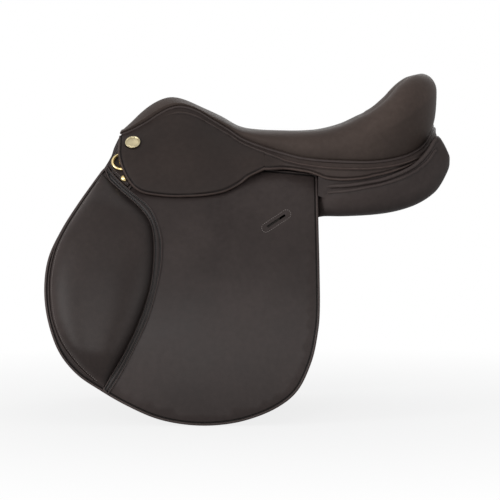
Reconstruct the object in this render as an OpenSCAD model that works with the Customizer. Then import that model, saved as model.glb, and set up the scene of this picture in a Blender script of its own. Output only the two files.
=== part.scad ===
// Jumping saddle: sprung wooden tree, padded seat, skirts, curved flaps with knee pads,
// girth straps, flocked panels and brass and steel fittings.
// X runs from the pommel to the cantle, Y across (the near side is -Y), Z up.
// The origin is on the middle plane, level with the lowest part of the rear panels.

/* [Seat] */
// Height of the pommel
pommel_height = 177; // [170:1:184]
// Height of the lowest part of the seat
seat_height = 127; // [122:1:132]
// Height of the top of the cantle
cantle_height = 212; // [204:1:220]
// Width across the front seam of the pommel
pommel_width = 120; // [114:2:126]
// Width across the seam at the waist
waist_width = 96; // [92:2:104]
// Width across the seam at the widest part
seat_width = 260; // [252:2:266]
// Reach of the cantle seam behind the centre of the seat's round end
cantle_reach = 94; // [88:1:98]
// Thickness of the seat leather
cover_t = 2.4; // [1.6:0.2:3.2]
// Thickness of the foam where it is deepest
foam_t = 22; // [18:1:24]
// Radius of the piping round the seat
welt_r = 2; // [1.4:0.2:2.4]

/* [Skirts] */
// Thickness of the skirt leather
skirt_t = 3.6; // [2.4:0.2:4.4]
// Height of the skirt's fold line above the flap
fold_lift = 13.5; // [13:0.5:16]
// Diameter of the stud on each skirt
stud_d = 25; // [18:1:28]

/* [Flaps] */
// Radius of the flap's curve round the horse
flap_radius = 760; // [720:10:820]
// Distance of the flap's top from the middle plane
flap_top_out = 88; // [84:1:96]
// Height of the flap's top
flap_top_z = 88; // [84:1:92]
// Lean of the flap's top from upright, in degrees
flap_lean = 35; // [33:0.5:37]
// Thickness of the flap leather
flap_t = 4.5; // [3.5:0.25:5.5]
// Length of the keeper slot
slot_len = 31; // [26:1:36]
// Width of the keeper slot
slot_w = 3; // [2:0.5:5]
// Fullness of the knee pad
pad_puff = 20; // [12:1:26]
// Thickness of the seam tape behind the knee pad
tape_t = 2; // [1:0.25:3]

/* [Girth straps] */
// Width of a girth strap
strap_w = 28; // [24:1:30]
// Thickness of a girth strap
strap_t = 4; // [3:0.25:4.5]
// Height of the straps' lower ends
strap_end_z = -226; // [-236:2:-206]
// Diameter of the punched holes
hole_d = 5.5; // [4.5:0.25:6.5]
// Distance from hole to hole
hole_pitch = 25; // [22:1:27]
// Number of holes in a strap
hole_count = 7; // [4:1:7]
// Thickness of the girth guard
guard_t = 2.5; // [2:0.1:2.6]
// Thickness of the sweat flap
sweat_t = 3.5; // [2.5:0.25:4]
// Thickness of the girth webs
web_t = 2.2; // [1.6:0.1:2.2]

/* [Tree] */
// Thickness of the laminated tree sides
tree_t = 10; // [8:0.5:10]
// Thickness of the tree rails
rail_t = 9; // [8:0.5:10]
// Thickness of the spring steel
spring_t = 2; // [1.5:0.25:3]
// Thickness of the gullet plate
plate_t = 3; // [2:0.5:4]

/* [Fittings] */
// Length of the stirrup bar
bar_len = 84; // [76:1:92]
// Height of the stirrup bar's arm
bar_h = 12; // [10:0.5:14]
// Room for the leather behind the bar
bar_gap = 7; // [6:0.25:7.5]
// Thickness of the bar's arm
bar_arm_t = 5; // [4:0.25:5.5]
// Thickness of the bar's base plate
bar_base_t = 3.5; // [2.5:0.25:4]
// Length of the safety catch past its pin
catch_len = 20; // [16:1:22]
// Radius of the pin and rivet shanks
pin_r = 1.5; // [1.2:0.1:1.8]
// Radius of the dee's curve
dee_r = 12.7; // [10:0.1:14]
// Radius of the dee's wire
dee_wire_r = 2; // [1.5:0.1:2.2]
// Diameter of the dee screw's head
screw_d = 10.5; // [7:0.5:11]

/* [Hidden] */

leather = [0.16, 0.13, 0.12];
lining = [0.2, 0.16, 0.14];
webbing = [0.75, 0.72, 0.64];
beech = [0.76, 0.6, 0.4];
steel = [0.62, 0.62, 0.64];
brass = [0.79, 0.66, 0.36];

// Clearance between faces that lie on each other
seat_gap = 0.3;
// Clearance where a part swings past another
swing_gap = 0.9;
// Radial clearance of a pin in its hole
pin_gap = 0.05;

// Smooth interpolation
function mix(a, b, t) = a + (b - a) * t;
function clamp01(t) = max(0, min(1, t));
function ease(t) = let (c = clamp01(t)) c * c * (3 - 2 * c);
function span_of(t, x, i = 0) = i >= len(t) - 2 || x < t[i + 1][0] ? i : span_of(t, x, i + 1);
function slope_of(t, i) =
    let (a = max(i - 1, 0), b = min(i + 1, len(t) - 1))
    (t[b][1] - t[a][1]) / (t[b][0] - t[a][0]);
// Value at x of the smooth curve through a table of [x, value]
function along(t, x) =
    let (i = span_of(t, x), w = t[i + 1][0] - t[i][0], u = clamp01((x - t[i][0]) / w))
    t[i][1] * (1 + 2 * u) * (1 - u) * (1 - u) + t[i + 1][1] * u * u * (3 - 2 * u)
    + w * slope_of(t, i) * u * (1 - u) * (1 - u) - w * slope_of(t, i + 1) * u * u * (1 - u);
// Points of the smooth path through a list of points, n steps to a span
function knot(p, i) = p[max(0, min(len(p) - 1, i))];
function path_point(p, i, u) =
    let (a = knot(p, i - 1), b = knot(p, i), c = knot(p, i + 1), d = knot(p, i + 2))
    0.5 * (2 * b + (c - a) * u + (2 * a - 5 * b + 4 * c - d) * u * u
    + (3 * b - a - 3 * c + d) * u * u * u);
function path(p, n) = concat(
    [for (i = [0:len(p) - 2]) for (k = [0:n - 1]) path_point(p, i, k / n)], [p[len(p) - 1]]);
function path_at(p, q) =
    let (w = clamp01(q) * (len(p) - 1), i = min(floor(w), len(p) - 2)) path_point(p, i, w - i);
function reverse(l) = [for (i = [len(l) - 1:-1:0]) l[i]];
// A table that ends at the middle of the cantle, carried on past it so that its curve runs level there
function level_end(t) = let (n = len(t)) concat(t, [[2 * t[n - 1][0] - t[n - 2][0], t[n - 2][1]]]);

// A closed skin over rings of points. Point k of a ring faces point n - 1 - k across an end cap, and the two
// halves of the rings are split into triangles the same way, so that layers lie evenly on each other.
function apart(p, t) = norm(p[t[0]] - p[t[1]]) > 1e-6 && norm(p[t[1]] - p[t[2]]) > 1e-6
    && norm(p[t[2]] - p[t[0]]) > 1e-6;
module skin(rings, cap_end = true) {
    n = len(rings[0]);
    m = len(rings);
    pts = [for (r = rings) each r];
    sides = [for (i = [0:m - 2]) for (k = [0:n - 1])
        let (a = i * n + k, b = i * n + (k + 1) % n)
        each k < n / 2 ? [[a, b, b + n], [a, b + n, a + n]] : [[a, b, a + n], [b, b + n, a + n]]];
    first = [for (k = [0:n / 2 - 2]) each [[k + 1, k, n - 1 - k], [k + 1, n - 1 - k, n - 2 - k]]];
    last = !cap_end ? [] : [for (k = [0:n / 2 - 2]) let (o = (m - 1) * n)
        each [[o + k, o + k + 1, o + n - 1 - k], [o + k + 1, o + n - 2 - k, o + n - 1 - k]]];
    faces = [for (t = concat(sides, first, last)) if (apart(pts, t)) t];
    volumes = [for (t = faces) pts[t[0]] * cross(pts[t[1]], pts[t[2]])];
    outward = volumes * [for (v = volumes) 1] > 0;
    polyhedron(pts, outward ? [for (t = faces) reverse(t)] : faces);
}
module right() mirror([0, 1, 0]) children();
module both() {
    children();
    right() children();
}

// Stations. A station up to round_x is a plane across the saddle at that x. Past round_x the planes
// fan round the seat's rear end, one degree to a unit, and tail_s is the middle of the cantle.
round_x = 190;
tail_s = round_x + 90;
front_x = -181;
function folded(s) = s > tail_s ? 2 * tail_s - s : s;
function place(s, r, z) = s <= round_x ? [s, -r, z]
    : [round_x + r * sin(s - round_x), -r * cos(s - round_x), z];

// Seat tables: each is a size against the station. The front edge lies a little above the flaps, and
// the pommel rises from there.
arch_z = flap_top_z + 40;
hump = pommel_height - arch_z;
arch_seam_z = arch_z - 2;
pommel_seam_z = pommel_height - 11;
waist_seam_z = seat_height + 3;
ridge = level_end([
    [front_x, arch_z], [-166, arch_z + 0.265 * hump], [-150, arch_z + 0.571 * hump],
    [-135, arch_z + 0.796 * hump], [-118, arch_z + 0.959 * hump], [-103, pommel_height],
    [-85, arch_z + 0.918 * hump], [-60, arch_z + 0.694 * hump],
    [-30, mix(seat_height, pommel_height, 0.42)],
    [-5, seat_height + 7], [20, seat_height + 2], [60, seat_height], [95, seat_height],
    [120, seat_height + 2.5], [150, seat_height + 10.5], [175, seat_height + 22],
    [round_x, seat_height + 30], [205, cantle_height - 36], [220, cantle_height - 15],
    [235, cantle_height - 4], [250, cantle_height - 1], [tail_s, cantle_height]
]);
dish = [[20, 0], [60, 1], [100, 4], [150, 10], [round_x, 16]];
seam_out = level_end([
    [front_x, pommel_width / 2], [-162, pommel_width / 2 - 2],
    [-135, mix(waist_width, pommel_width, 0.42) / 2], [-108, waist_width / 2],
    [-63, waist_width / 2 + 2], [-18, mix(waist_width, seat_width, 0.18) / 2],
    [27, mix(waist_width, seat_width, 0.45) / 2], [72, mix(waist_width, seat_width, 0.72) / 2],
    [115, seat_width / 2 - 8], [158, seat_width / 2], [round_x, seat_width / 2],
    [205, seat_width / 2 - 5], [220, mix(cantle_reach, seat_width / 2, 0.64)],
    [235, mix(cantle_reach, seat_width / 2, 0.42)], [250, mix(cantle_reach, seat_width / 2, 0.22)],
    [265, mix(cantle_reach, seat_width / 2, 0.06)], [tail_s, cantle_reach]
]);
seam_z = level_end([
    [front_x, arch_seam_z], [-166, mix(arch_seam_z, pommel_seam_z, 0.125)],
    [-152, mix(arch_seam_z, pommel_seam_z, 0.3)], [-138, mix(arch_seam_z, pommel_seam_z, 0.5)],
    [-123, mix(arch_seam_z, pommel_seam_z, 0.75)], [-108, mix(arch_seam_z, pommel_seam_z, 0.94)],
    [-93, pommel_seam_z], [-78, mix(waist_seam_z, pommel_seam_z, 0.93)],
    [-63, mix(waist_seam_z, pommel_seam_z, 0.75)], [-48, mix(waist_seam_z, pommel_seam_z, 0.5)],
    [-33, mix(waist_seam_z, pommel_seam_z, 0.25)], [-18, waist_seam_z],
    [0, seat_height - 9], [27, seat_height - 20], [57, seat_height - 29], [86, seat_height - 36.5],
    [115, seat_height - 40], [158, seat_height - 42], [round_x, seat_height - 42],
    [205, seat_height - 38], [220, seat_height - 30], [235, cantle_height - 103],
    [250, cantle_height - 85], [265, cantle_height - 77], [tail_s, cantle_height - 73]
]);
crown_share = level_end([[front_x, 0.5], [-105, 0.35], [0, 0.45], [60, 0.6], [120, 0.72], [round_x, 0.78],
    [tail_s, 0.82]]);
bulge = level_end([[front_x, 1], [0, 2], [100, 3], [round_x, 5], [tail_s, 8]]);
widest_share = level_end([[front_x, 0.3], [60, 0.35], [round_x, 0.5], [tail_s, 0.59]]);
foam_depth = [
    [front_x, 0.3 * foam_t], [-150, 0.4 * foam_t], [-105, 0.55 * foam_t], [-20, 0.6 * foam_t],
    [20, 0.75 * foam_t], [90, foam_t], [140, 0.95 * foam_t], [round_x, 0.8 * foam_t]
];
function ridge_z(s) = along(ridge, s);
function middle_z(s) = ridge_z(min(s, round_x)) - along(dish, max(20, min(s, round_x)));
function seam_r(s) = along(seam_out, s);
function seam_h(s) = along(seam_z, s);
function foam_d(s) = along(foam_depth, min(s, round_x));

// Half of the seat's section at a station, from the middle to the seam, d inside its surface
crown_steps = 3;
round_step = (tail_s - round_x) / 8;
function half_section(s, d) =
    let (rw = seam_r(s), zw = seam_h(s), zr = ridge_z(s), zc = middle_z(s), ro = rw + along(bulge, s),
         zo = zw + along(widest_share, s) * (zr - zw), rr = min(along(crown_share, s) * rw, ro - d - 4))
    concat(
        [for (t = [0:crown_steps - 1]) [rr * t / crown_steps, mix(zc, zr, ease(t / crown_steps)) - d]],
        [for (a = [0:22.5:67.5]) [rr + (ro - d - rr) * sin(a), zo + (zr - d - zo) * cos(a)]],
        [for (b = [0:45:90]) [rw - d + (ro - rw) * cos(b), zo - (zo - zw) * sin(b)]]
    );
function across(s, half) = concat(
    [for (p = reverse(half)) place(s, p[0], p[1])],
    [for (i = [1:len(half) - 1]) let (p = place(s, half[i][0], half[i][1])) [p[0], -p[1], p[2]]]);
function seat_ring(s, d_out, d_in) =
    concat(across(s, half_section(s, d_out)), reverse(across(s, half_section(s, d_in))));
seat_stations = concat([front_x, -174], [for (x = [-166:14:-54]) x], [for (x = [-36:22:162]) x],
    [176], [for (a = [round_x:round_step:tail_s]) a]);

module seat_cover() color(leather)
    skin([for (s = seat_stations) seat_ring(s, 0, cover_t)], cap_end = false);

// The foam starts behind the seat's thin front edge
module seat_foam() color(webbing)
    skin([for (s = seat_stations) if (s > front_x)
        seat_ring(s, cover_t + 2 * seat_gap, max(foam_d(s), cover_t + 2))], cap_end = false);

// A tube of the given sides along points, square to the plan direction of each step
function tube_ring(a, b, p, r, sides) =
    let (f = (b - a) / norm(b - a), u = cross(f, [0, 0, 1]), n1 = u / norm(u), n2 = cross(n1, f))
    [for (k = [0:sides - 1]) let (g = 360 * (k + 0.5) / sides) p + r * (cos(g) * n1 + sin(g) * n2)];
module tube(points, r, sides = 6) skin([for (i = [0:len(points) - 1])
    tube_ring(points[max(0, i - 1)], points[min(len(points) - 1, i + 1)], points[i], r, sides)]);

welt_out = 0.4;
function welt_point(s) = let (f = folded(s))
    place(s, seam_r(f) + welt_out, seam_h(f) - welt_r - 3 * seat_gap);
welt_stations = concat([front_x], [for (x = [-168:13:-51]) x], [for (x = [-36:24:180]) x]);
module seat_welt() color(leather) {
    left = [for (s = welt_stations) welt_point(s)];
    turn = [for (s = [round_x:round_step:2 * tail_s - round_x]) welt_point(s)];
    tube(concat(left, turn, [for (p = reverse(left)) [p[0], -p[1], p[2]]]), welt_r);
}

// Flap layers: every layer of the flap is a sheet round one axis, d outside the flap's face
axis_out = flap_top_out - flap_radius * cos(flap_lean);
axis_z = flap_top_z - flap_radius * sin(flap_lean);
function layer_out(z, d) =
    axis_out + sqrt((flap_radius + d) * (flap_radius + d) - (z - axis_z) * (z - axis_z));
function layer_lean(z, d) = asin((z - axis_z) / (flap_radius + d));
function on_layer(x, z, d) = [x, -layer_out(z, d), z];
reach = 320;
module sheet(d_out, d_in) intersection() {
    translate([-reach, -axis_out, axis_z]) rotate([0, 90, 0]) difference() {
        cylinder(h = 2 * reach, r = flap_radius + d_out, $fn = 180);
        translate([0, 0, -1]) cylinder(h = 2 * reach + 2, r = flap_radius + d_in, $fn = 180);
    }
    rotate([90, 0, 0]) linear_extrude(reach) children();
}
// Places a fitting on a layer: its own X runs rearward, Y up the leather, Z outward
module fitting(x, z, d) translate([x, -axis_out, axis_z])
    rotate([90 - layer_lean(z, d), 0, 0]) translate([0, 0, flap_radius + d]) children();

web_d = -flap_t - 0.5;
guard_d = web_d + 0.1;
strap_d = guard_d - guard_t - swing_gap;
tree_d = web_d - web_t - seat_gap;
sweat_d = strap_d - strap_t - 2.1 * swing_gap;
panel_d = sweat_d - sweat_t - seat_gap;
cover_d = -1;
cover_depth = 3;
head_top_z = 112;
tree_foot_z = 36;
flap_rear_x = 111;

// Skirts: a fixed part sewn into the seat's seam, and a lap that lifts about a straight fold line
fold_front = [-190, 98];
fold_rear = [120, 66];
lap_front_x = -178;
lap_rear_x = 33;
fold_gap = 1;
function fold_z(x) = mix(fold_front[1], fold_rear[1], (x - fold_front[0]) / (fold_rear[0] - fold_front[0]));
function fold_out(x) = mix(layer_out(fold_front[1], fold_lift), layer_out(fold_rear[1], fold_lift),
    (x - fold_front[0]) / (fold_rear[0] - fold_front[0]));
skirt_edge = level_end([
    [lap_rear_x, 70.5], [41, 70.5], [63, 71], [85, 68.5], [99, 66], [111, 62], [121, 58], [135, 56],
    [150, 55.5], [170, 57], [round_x, 63], [205, 70], [220, 80], [235, 94.5], [250, 110], [265, 121],
    [tail_s, 128]
]);
skirt_out = 8;
skirt_bow = 2.5;
function skirt_top(s) = [seam_r(s) + 1.2, seam_h(s) - 2 * welt_r - 5 * seat_gap - 0.5];
function skirt_foot(s) = s <= lap_rear_x ? [fold_out(s) - 0.4, fold_z(s) + fold_gap]
    : let (z = along(skirt_edge, s), d = mix(fold_lift, 3, ease((s - lap_rear_x) / 70)))
        [max(seam_r(s) + skirt_out - 3 * ease((s - round_x) / 60), layer_out(z, d) - 0.4), z];
function skirt_point(s, t, d) =
    let (a = skirt_top(s), b = skirt_foot(s), g = b - a, n = [-g[1], g[0]] / norm(g),
         p = mix(a, b, t) + n * (d + skirt_bow * sin(180 * t))) place(s, p[0], p[1]);
skirt_steps = 4;
skirt_stations = concat([front_x], [for (x = [-172:16:-44]) x], [for (x = [-28:20:12]) x],
    [lap_rear_x, lap_rear_x + 4],
    [for (x = [52:18:178]) x], [for (a = [round_x:15:tail_s]) a]);
module skirt() color(leather) skin([for (s = skirt_stations) concat(
    [for (k = [0:skirt_steps]) skirt_point(s, k / skirt_steps, skirt_t / 2)],
    [for (k = [skirt_steps:-1:0]) skirt_point(s, k / skirt_steps, -skirt_t / 2)])]);

lap_edge = [
    [-179.5, 96], [-179, 85], [-173, 70], [-162, 53], [-147, 41], [-125, 35], [-98, 33], [-70, 33.5],
    [-46, 36], [-24, 41], [-4, 51], [12, 62], [lap_rear_x, 70.5]
];
lap_foot_d = 2;
lap_toe_d = 6;
lap_steps = 4;
function lap_point(q, t, side) =
    let (x = mix(lap_front_x, lap_rear_x, q), e = path_at(lap_edge, q),
         p = mix([x, fold_z(x) - fold_gap], e, t),
         foot = mix(lap_toe_d, lap_foot_d, ease(q / 0.42)) + skirt_t / 2,
         d = mix(fold_lift, foot, pow(t, 1.6) * ease((fold_z(x) - e[1]) / 36)))
    on_layer(p[0], p[1], d + side * skirt_t / 2);
module skirt_lap() color(leather) skin([for (i = [0:24]) let (q = i / 24) concat(
    [for (k = [0:lap_steps]) lap_point(q, k / lap_steps, 1)],
    [for (k = [lap_steps:-1:0]) lap_point(q, k / lap_steps, -1)])]);

// Brass studs on the skirts
stud_s = -162;
stud_share = 0.58;
stud_rise = 4;
module skirt_stud() {
    down = skirt_point(stud_s, stud_share + 0.15, 0) - skirt_point(stud_s, stud_share - 0.15, 0);
    aft = skirt_point(stud_s + 8, stud_share, 0) - skirt_point(stud_s - 8, stud_share, 0);
    out = cross(down, aft) / norm(cross(down, aft));
    ball = (stud_d * stud_d / 4 + stud_rise * stud_rise) / (2 * stud_rise);
    translate(skirt_point(stud_s, stud_share, skirt_t / 2 + 1.5 * seat_gap))
        rotate([0, acos(out[2]), atan2(out[1], out[0])]) intersection() {
            translate([0, 0, stud_rise - ball]) sphere(ball, $fn = 96);
            cylinder(h = stud_rise + 1, d = stud_d, $fn = 64);
        }
}
module skirt_studs() color(brass) both() skirt_stud();

// Leather facings at the front arch, behind the cantle and over the gullet
facing_t = 9;
facing_w = 12;
facing_z = ridge_z(front_x) - cover_t - seat_gap - facing_t / 2;
facing_path = [
    [0, facing_z], [30, facing_z - 1.5], [48, facing_z - 9], [60, 101], [70, 89], [79.5, 76], [87, 65]
];
facing_x = [[0, -182.5], [30, -183], [48, -185], [60, -188], [70, -192], [79.5, -199], [87, -206]];
function facing_ring(q) =
    let (a = abs(q), p = path_at(facing_path, a),
         g = path_at(facing_path, a + 0.02) - path_at(facing_path, a - 0.02),
         n = (a < 0.02 ? [0, 1] : [-g[1], g[0]] / norm(g)) * facing_t / 2,
         y = q < 0 ? 1 : -1, x = along(facing_x, p[0]))
    [for (c = [[0, -0.6], [0.25, -1], [0.75, -1], [1, -0.6], [1, 0.6], [0.75, 1], [0.25, 1], [0, 0.6]])
        [x + facing_w * c[0], y * (p[0] + n[0] * c[1]), p[1] + n[1] * c[1]]];
module front_facing() color(leather) skin([for (i = [-14:14]) facing_ring(i / 14)]);

rear_half = 21;
rear_t = 3;
rear_drop = 30;
module rear_facing() color(leather) skin([for (s = [tail_s - rear_half:7:tail_s + rear_half])
    let (f = folded(s), r = seam_r(f) + skirt_out / 3, z = along(skirt_edge, f) + 5 * seat_gap)
    [place(s, r, z), place(s, r - 3, z - rear_drop), place(s, r - 3 - rear_t, z - rear_drop),
     place(s, r - rear_t, z)]]);

// Panels: one flocked cushion a side, each section a rounded box between four corner tables
panel_in_low = [
    [-188, 84], [-150, 86], [-80, 76], [-20, 60], [60, 40], [110, 30], [150, 24], [200, 26], [245, 36],
    [275, 52], [290, 64], [303, 74]
];
panel_in_out = [[-188, 38], [-150, 34], [-20, 33], [150, 32], [245, 36], [275, 40], [290, 46], [303, 56]];
panel_top_in = [
    [-188, 104], [-150, 107], [-80, 103], [-20, seat_height - 35], [60, seat_height - 53],
    [110, seat_height - 61], [150, seat_height - 65], [200, seat_height - 65], [245, seat_height - 53],
    [275, 98], [284, 106], [292, 117], [303, 112]
];
panel_low_z = [
    [-188, 6], [-150, -10], [-80, -14], [-20, -14], [60, -10], [110, -4], [150, -3], [200, 0], [232, 5.5],
    [262, 16], [286, 32], [303, 52]
];
panel_top_z = [
    [-188, 24], [-150, 2], [-80, -2], [-20, 0], [60, 6], [108, 14], [126, seat_height - 85],
    [150, seat_height - 79], [200, seat_height - 71], [232, seat_height - 61.5], [258, 79], [275, 92],
    [290, 105], [303, 102]
];
panel_top_spare = [[112, 0], [130, 22], [150, 31], [200, 30], [245, 14], [275, -4], [290, -12], [303, -16]];
panel_low_spare = [[112, 0], [150, 6], [200, 3], [245, -9], [275, -23], [290, -35], [303, -45]];
panel_square = 0.55;
panel_set_in = 8;
panel_points = 14;
panel_free_x = 112;
panel_seat_d = panel_d - 0.1;
// Distance out of the panel's outer edge: on the sweat flap, then swelling free behind it
function panel_wall(x, z, spare) = layer_out(along(z, min(x, panel_free_x)), panel_seat_d)
    + (x > panel_free_x ? along(spare, x) : 0);
panel_tip_x = 305.5;
panel_tip = 26.5;
panel_nose_x = -191;
panel_nose = 16;
panel_end_power = 2.5;
function panel_end(x) =
    let (u = max(clamp01((panel_nose_x + panel_nose - x) / panel_nose),
                 clamp01((x - panel_tip_x + panel_tip) / panel_tip)))
    pow(1 - pow(u, panel_end_power), 1 / panel_end_power);
// Point of the panel's section: u from the gullet edge to the outer edge, w from the horse's side up.
// The upper side swells out to lie on the tree.
function panel_at(x, u, w) =
    let (lo = [along(panel_in_out, x), along(panel_in_low, x)],
         li = [along(panel_in_out, x) + panel_set_in, along(panel_top_in, x)],
         bo = [panel_wall(x, panel_low_z, panel_low_spare), along(panel_low_z, x)],
         to = [panel_wall(x, panel_top_z, panel_top_spare), along(panel_top_z, x)], mid = (li + to) / 2,
         swell = (layer_out(mid[1], panel_seat_d) - mid[0]) * (1 - ease((x - 70) / 42)))
    mix(mix(lo, bo, u), mix(li, to, u), w) + [swell * 4 * u * (1 - u) * w, 0];
function panel_mid(x) = panel_at(x, 0.5, 0.5);
function panel_ring(x) = [for (i = [0:panel_points - 1])
    let (a = 360 * (i + 0.5) / panel_points, u = sign(cos(a)) * pow(abs(cos(a)), panel_square),
         w = sign(sin(a)) * pow(abs(sin(a)), panel_square),
         q = mix(panel_mid(x), panel_at(x, (u + 1) / 2, (w + 1) / 2), panel_end(x)))
    [x, -(x > panel_free_x ? q[0] : min(q[0], layer_out(q[1], panel_seat_d))), q[1]]];
panel_stations = concat([for (k = [0.02, 0.09, 0.22, 0.45, 0.8]) panel_nose_x + panel_nose * k],
    [for (x = [-164:20:76]) x], [90, 102, 114, 128], [for (x = [146:18:272]) x],
    [for (k = [0.8, 0.56, 0.36, 0.2, 0.09, 0.02]) panel_tip_x - panel_tip * k]);
module panel() color(lining) skin([for (x = panel_stations) panel_ring(x)]);

// Piping along the panel's upper edge behind the flap
panel_welt_r = 2.6;
panel_shoulder = 0.915;
function panel_welt_point(x) =
    let (p = mix(panel_mid(x), panel_at(x, panel_shoulder, panel_shoulder), panel_end(x)),
         n = [0.75, 0.66] * (panel_welt_r + 6.5 * seat_gap)) [x, -p[0] - n[0], p[1] + n[1]];
module panel_welt() color(leather) tube([for (x = [122:9:275]) panel_welt_point(x)], panel_welt_r);

lining_t = 2;
plate_front_x = -157;
plate_rear_x = -118;
lining_half = 34;
lining_step = 26;
function under_plate_z(x) = head_half(x)[8][1] - 3 * seat_gap - plate_t - 1;
function lining_z(x) = x > plate_rear_x + lining_step ? along(panel_top_in, x) + 3
    : x > plate_front_x ? min(along(panel_top_in, x) + 3, under_plate_z(x)) : under_plate_z(x);
lining_stations = concat([plate_front_x], [for (x = [-140:lining_step:250]) x]);
module gullet_lining() color(lining) skin([for (x = lining_stations)
    let (z = lining_z(x), e = lining_half)
    [for (p = [[-e, -4], [-e / 2, 0], [0, 1], [e / 2, 0], [e, -4], [e, -4 - lining_t], [e / 2, -lining_t],
        [0, 1 - lining_t], [-e / 2, -lining_t], [-e, -4 - lining_t]]) [x, p[0], z + p[1]]]]);

// Tree: head block, two sides with points, two rails and the cantle
function head_half(s) =
    let (rw = seam_r(s), zw = seam_h(s), top = ridge_z(s) - foam_d(s) - 2 * seat_gap,
         ri = rw - foam_d(s) - 1.5, arch = max(top - 28, head_top_z), foot = head_top_z + 2 * seat_gap)
    [[0, top], [ri * 0.6, top - 0.5], [ri, min(top - 1, zw - 1)], [rw - 5, zw - 2 * welt_r - 4],
     [layer_out(foot, tree_d - 1), foot], [layer_out(foot, tree_d - tree_t + 1), foot],
     [38, min(arch - 5, foot + 4)], [22, arch - 1.5], [0, arch - 0.5]];
function head_ring(s) = let (h = head_half(s)) concat(
    [for (i = [4:-1:0]) [s, -h[i][0], h[i][1]]], [for (i = [1:4]) [s, h[i][0], h[i][1]]],
    [for (i = [5:7]) [s, h[i][0], h[i][1]]], [for (i = [8:-1:5]) [s, -h[i][0], h[i][1]]]);
module tree_head() color(beech) skin([for (s = [-170:13:-92]) head_ring(s)]);

function board_ring(s) =
    let (f = folded(s), d = foam_d(f) + 2 * seat_gap, o = half_section(f, d), i = half_section(f, d + rail_t))
    concat([for (k = [len(o) - 1:-1:crown_steps]) place(s, o[k][0], o[k][1] + seat_gap)],
        [for (k = [crown_steps:len(i) - 1]) place(s, i[k][0], i[k][1] + seat_gap)]);
module tree_cantle() color(beech) skin([for (s = [round_x:round_step:2 * tail_s - round_x]) board_ring(s)]);

rail_front_x = 12;
rail_rear_s = 215;
rail_in = 44;
rail_out = 4;
rail_stations = concat([rail_front_x], [for (x = [30:20:170]) x], [round_x, 202, rail_rear_s]);
function rail_z(s) = seam_h(s) - 2 * welt_r - 2 * seat_gap;
module tree_rail() color(beech) skin([for (s = rail_stations)
    let (a = seam_r(s) - rail_in, b = seam_r(s) - rail_out, z = rail_z(s))
    [place(s, a, z), place(s, b, z), place(s, b, z - rail_t), place(s, a, z - rail_t)]]);

tree_front_x = -170;
tree_rear_x = 58;
tree_outline = concat(
    [[tree_front_x, head_top_z], [-40, head_top_z]],
    [for (x = [rail_front_x:11:tree_rear_x - 2]) [x, rail_z(x) - rail_t - seat_gap]],
    [[tree_rear_x, rail_z(tree_rear_x) - rail_t - seat_gap], [tree_rear_x, tree_foot_z],
     [-166, tree_foot_z], [-174, 46], [-176, 60]]);
bar_x = -80;
bar_z = 68;
rivet_x = [-30, 0, 30];
rivet_y = -8;
module tree_side() color(beech) difference() {
    sheet(tree_d, tree_d - tree_t) polygon(tree_outline);
    on_bar() for (x = rivet_x) translate([x, rivet_y, -tree_t / 2])
        cylinder(h = tree_t, r = pin_r + pin_gap, $fn = 32);
}

spring_in = 30;
spring_w = 18;
module tree_spring() color(steel) skin([for (s = [62:18:170])
    let (a = seam_r(s) - spring_in, z = rail_z(s) - rail_t - seat_gap)
    [place(s, a, z), place(s, a + spring_w, z), place(s, a + spring_w, z - spring_t),
     place(s, a, z - spring_t)]]);

function plate_ring(x) = let (h = head_half(x), low = [for (i = [8:-1:6]) h[i] - [0, 2 * seat_gap]],
    arc = concat([for (i = [2, 1]) [-low[i][0], low[i][1]]], low))
    concat([for (p = arc) [x, p[0], p[1]]], [for (p = reverse(arc)) [x, p[0] * 0.94, p[1] - plate_t]]);
module gullet_plate() color(steel) skin([for (x = [plate_front_x:13:plate_rear_x]) plate_ring(x)]);

// Webs: a strainer along the seat, and girth webs tacked to the tree sides for the girth straps
strainer_w = 42;
strainer_t = 2;
strainer_stations = concat([for (x = [-90:22:152]) x], [168, 176]);
function strainer_z(s) = middle_z(s) - foam_d(s) - 2 * seat_gap;
module seat_strainers() color(webbing) skin([for (s = strainer_stations)
    let (e = strainer_w / 2, z = strainer_z(s) - 1)
    [[s, -e, z], [s, e, z], [s, e, z - strainer_t], [s, -e, z - strainer_t]]]);

web_foot_z = -16;
web_top_z = 54;
web_w = 34;
module girth_webs() color(webbing) for (x = strap_x) sheet(web_d, web_d - web_t)
    translate([x - web_w / 2, web_foot_z]) square([web_w, web_top_z - web_foot_z]);

// Girth straps with punched holes, and the guard that hangs over their buckles
strap_x = [-72, -6, 38];
strap_top_z = tree_foot_z - 4;
strap_head_z = -14;
strap_pivot_z = 10;
first_hole_z = -58;
module girth_strap(x) color(leather) difference() {
    union() {
        sheet(strap_d, strap_d - strap_t) polygon(concat(
            [[x - strap_w / 2, strap_top_z], [x + strap_w / 2, strap_top_z]],
            [for (a = [0:-20:-180]) [x + strap_w / 2 * cos(a), strap_end_z + strap_w / 2 * (1 + sin(a))]]));
        sheet(web_d - web_t - seat_gap, strap_d - strap_t / 2) translate([x - strap_w / 2, strap_head_z])
            square([strap_w, strap_top_z - strap_head_z]);
    }
    for (i = [0:hole_count - 1]) fitting(x, first_hole_z - hole_pitch * i, strap_d)
        translate([0, 0, -3 * strap_t]) cylinder(h = 6 * strap_t, d = hole_d, $fn = 32);
}

guard_outline = [
    [-92, -75], [62, -75], [66, -110], [50, -150], [20, -165], [-50, -165], [-84, -148], [-96, -110]
];
module girth_guard() color(leather) sheet(guard_d, guard_d - guard_t) polygon(guard_outline);

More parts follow.
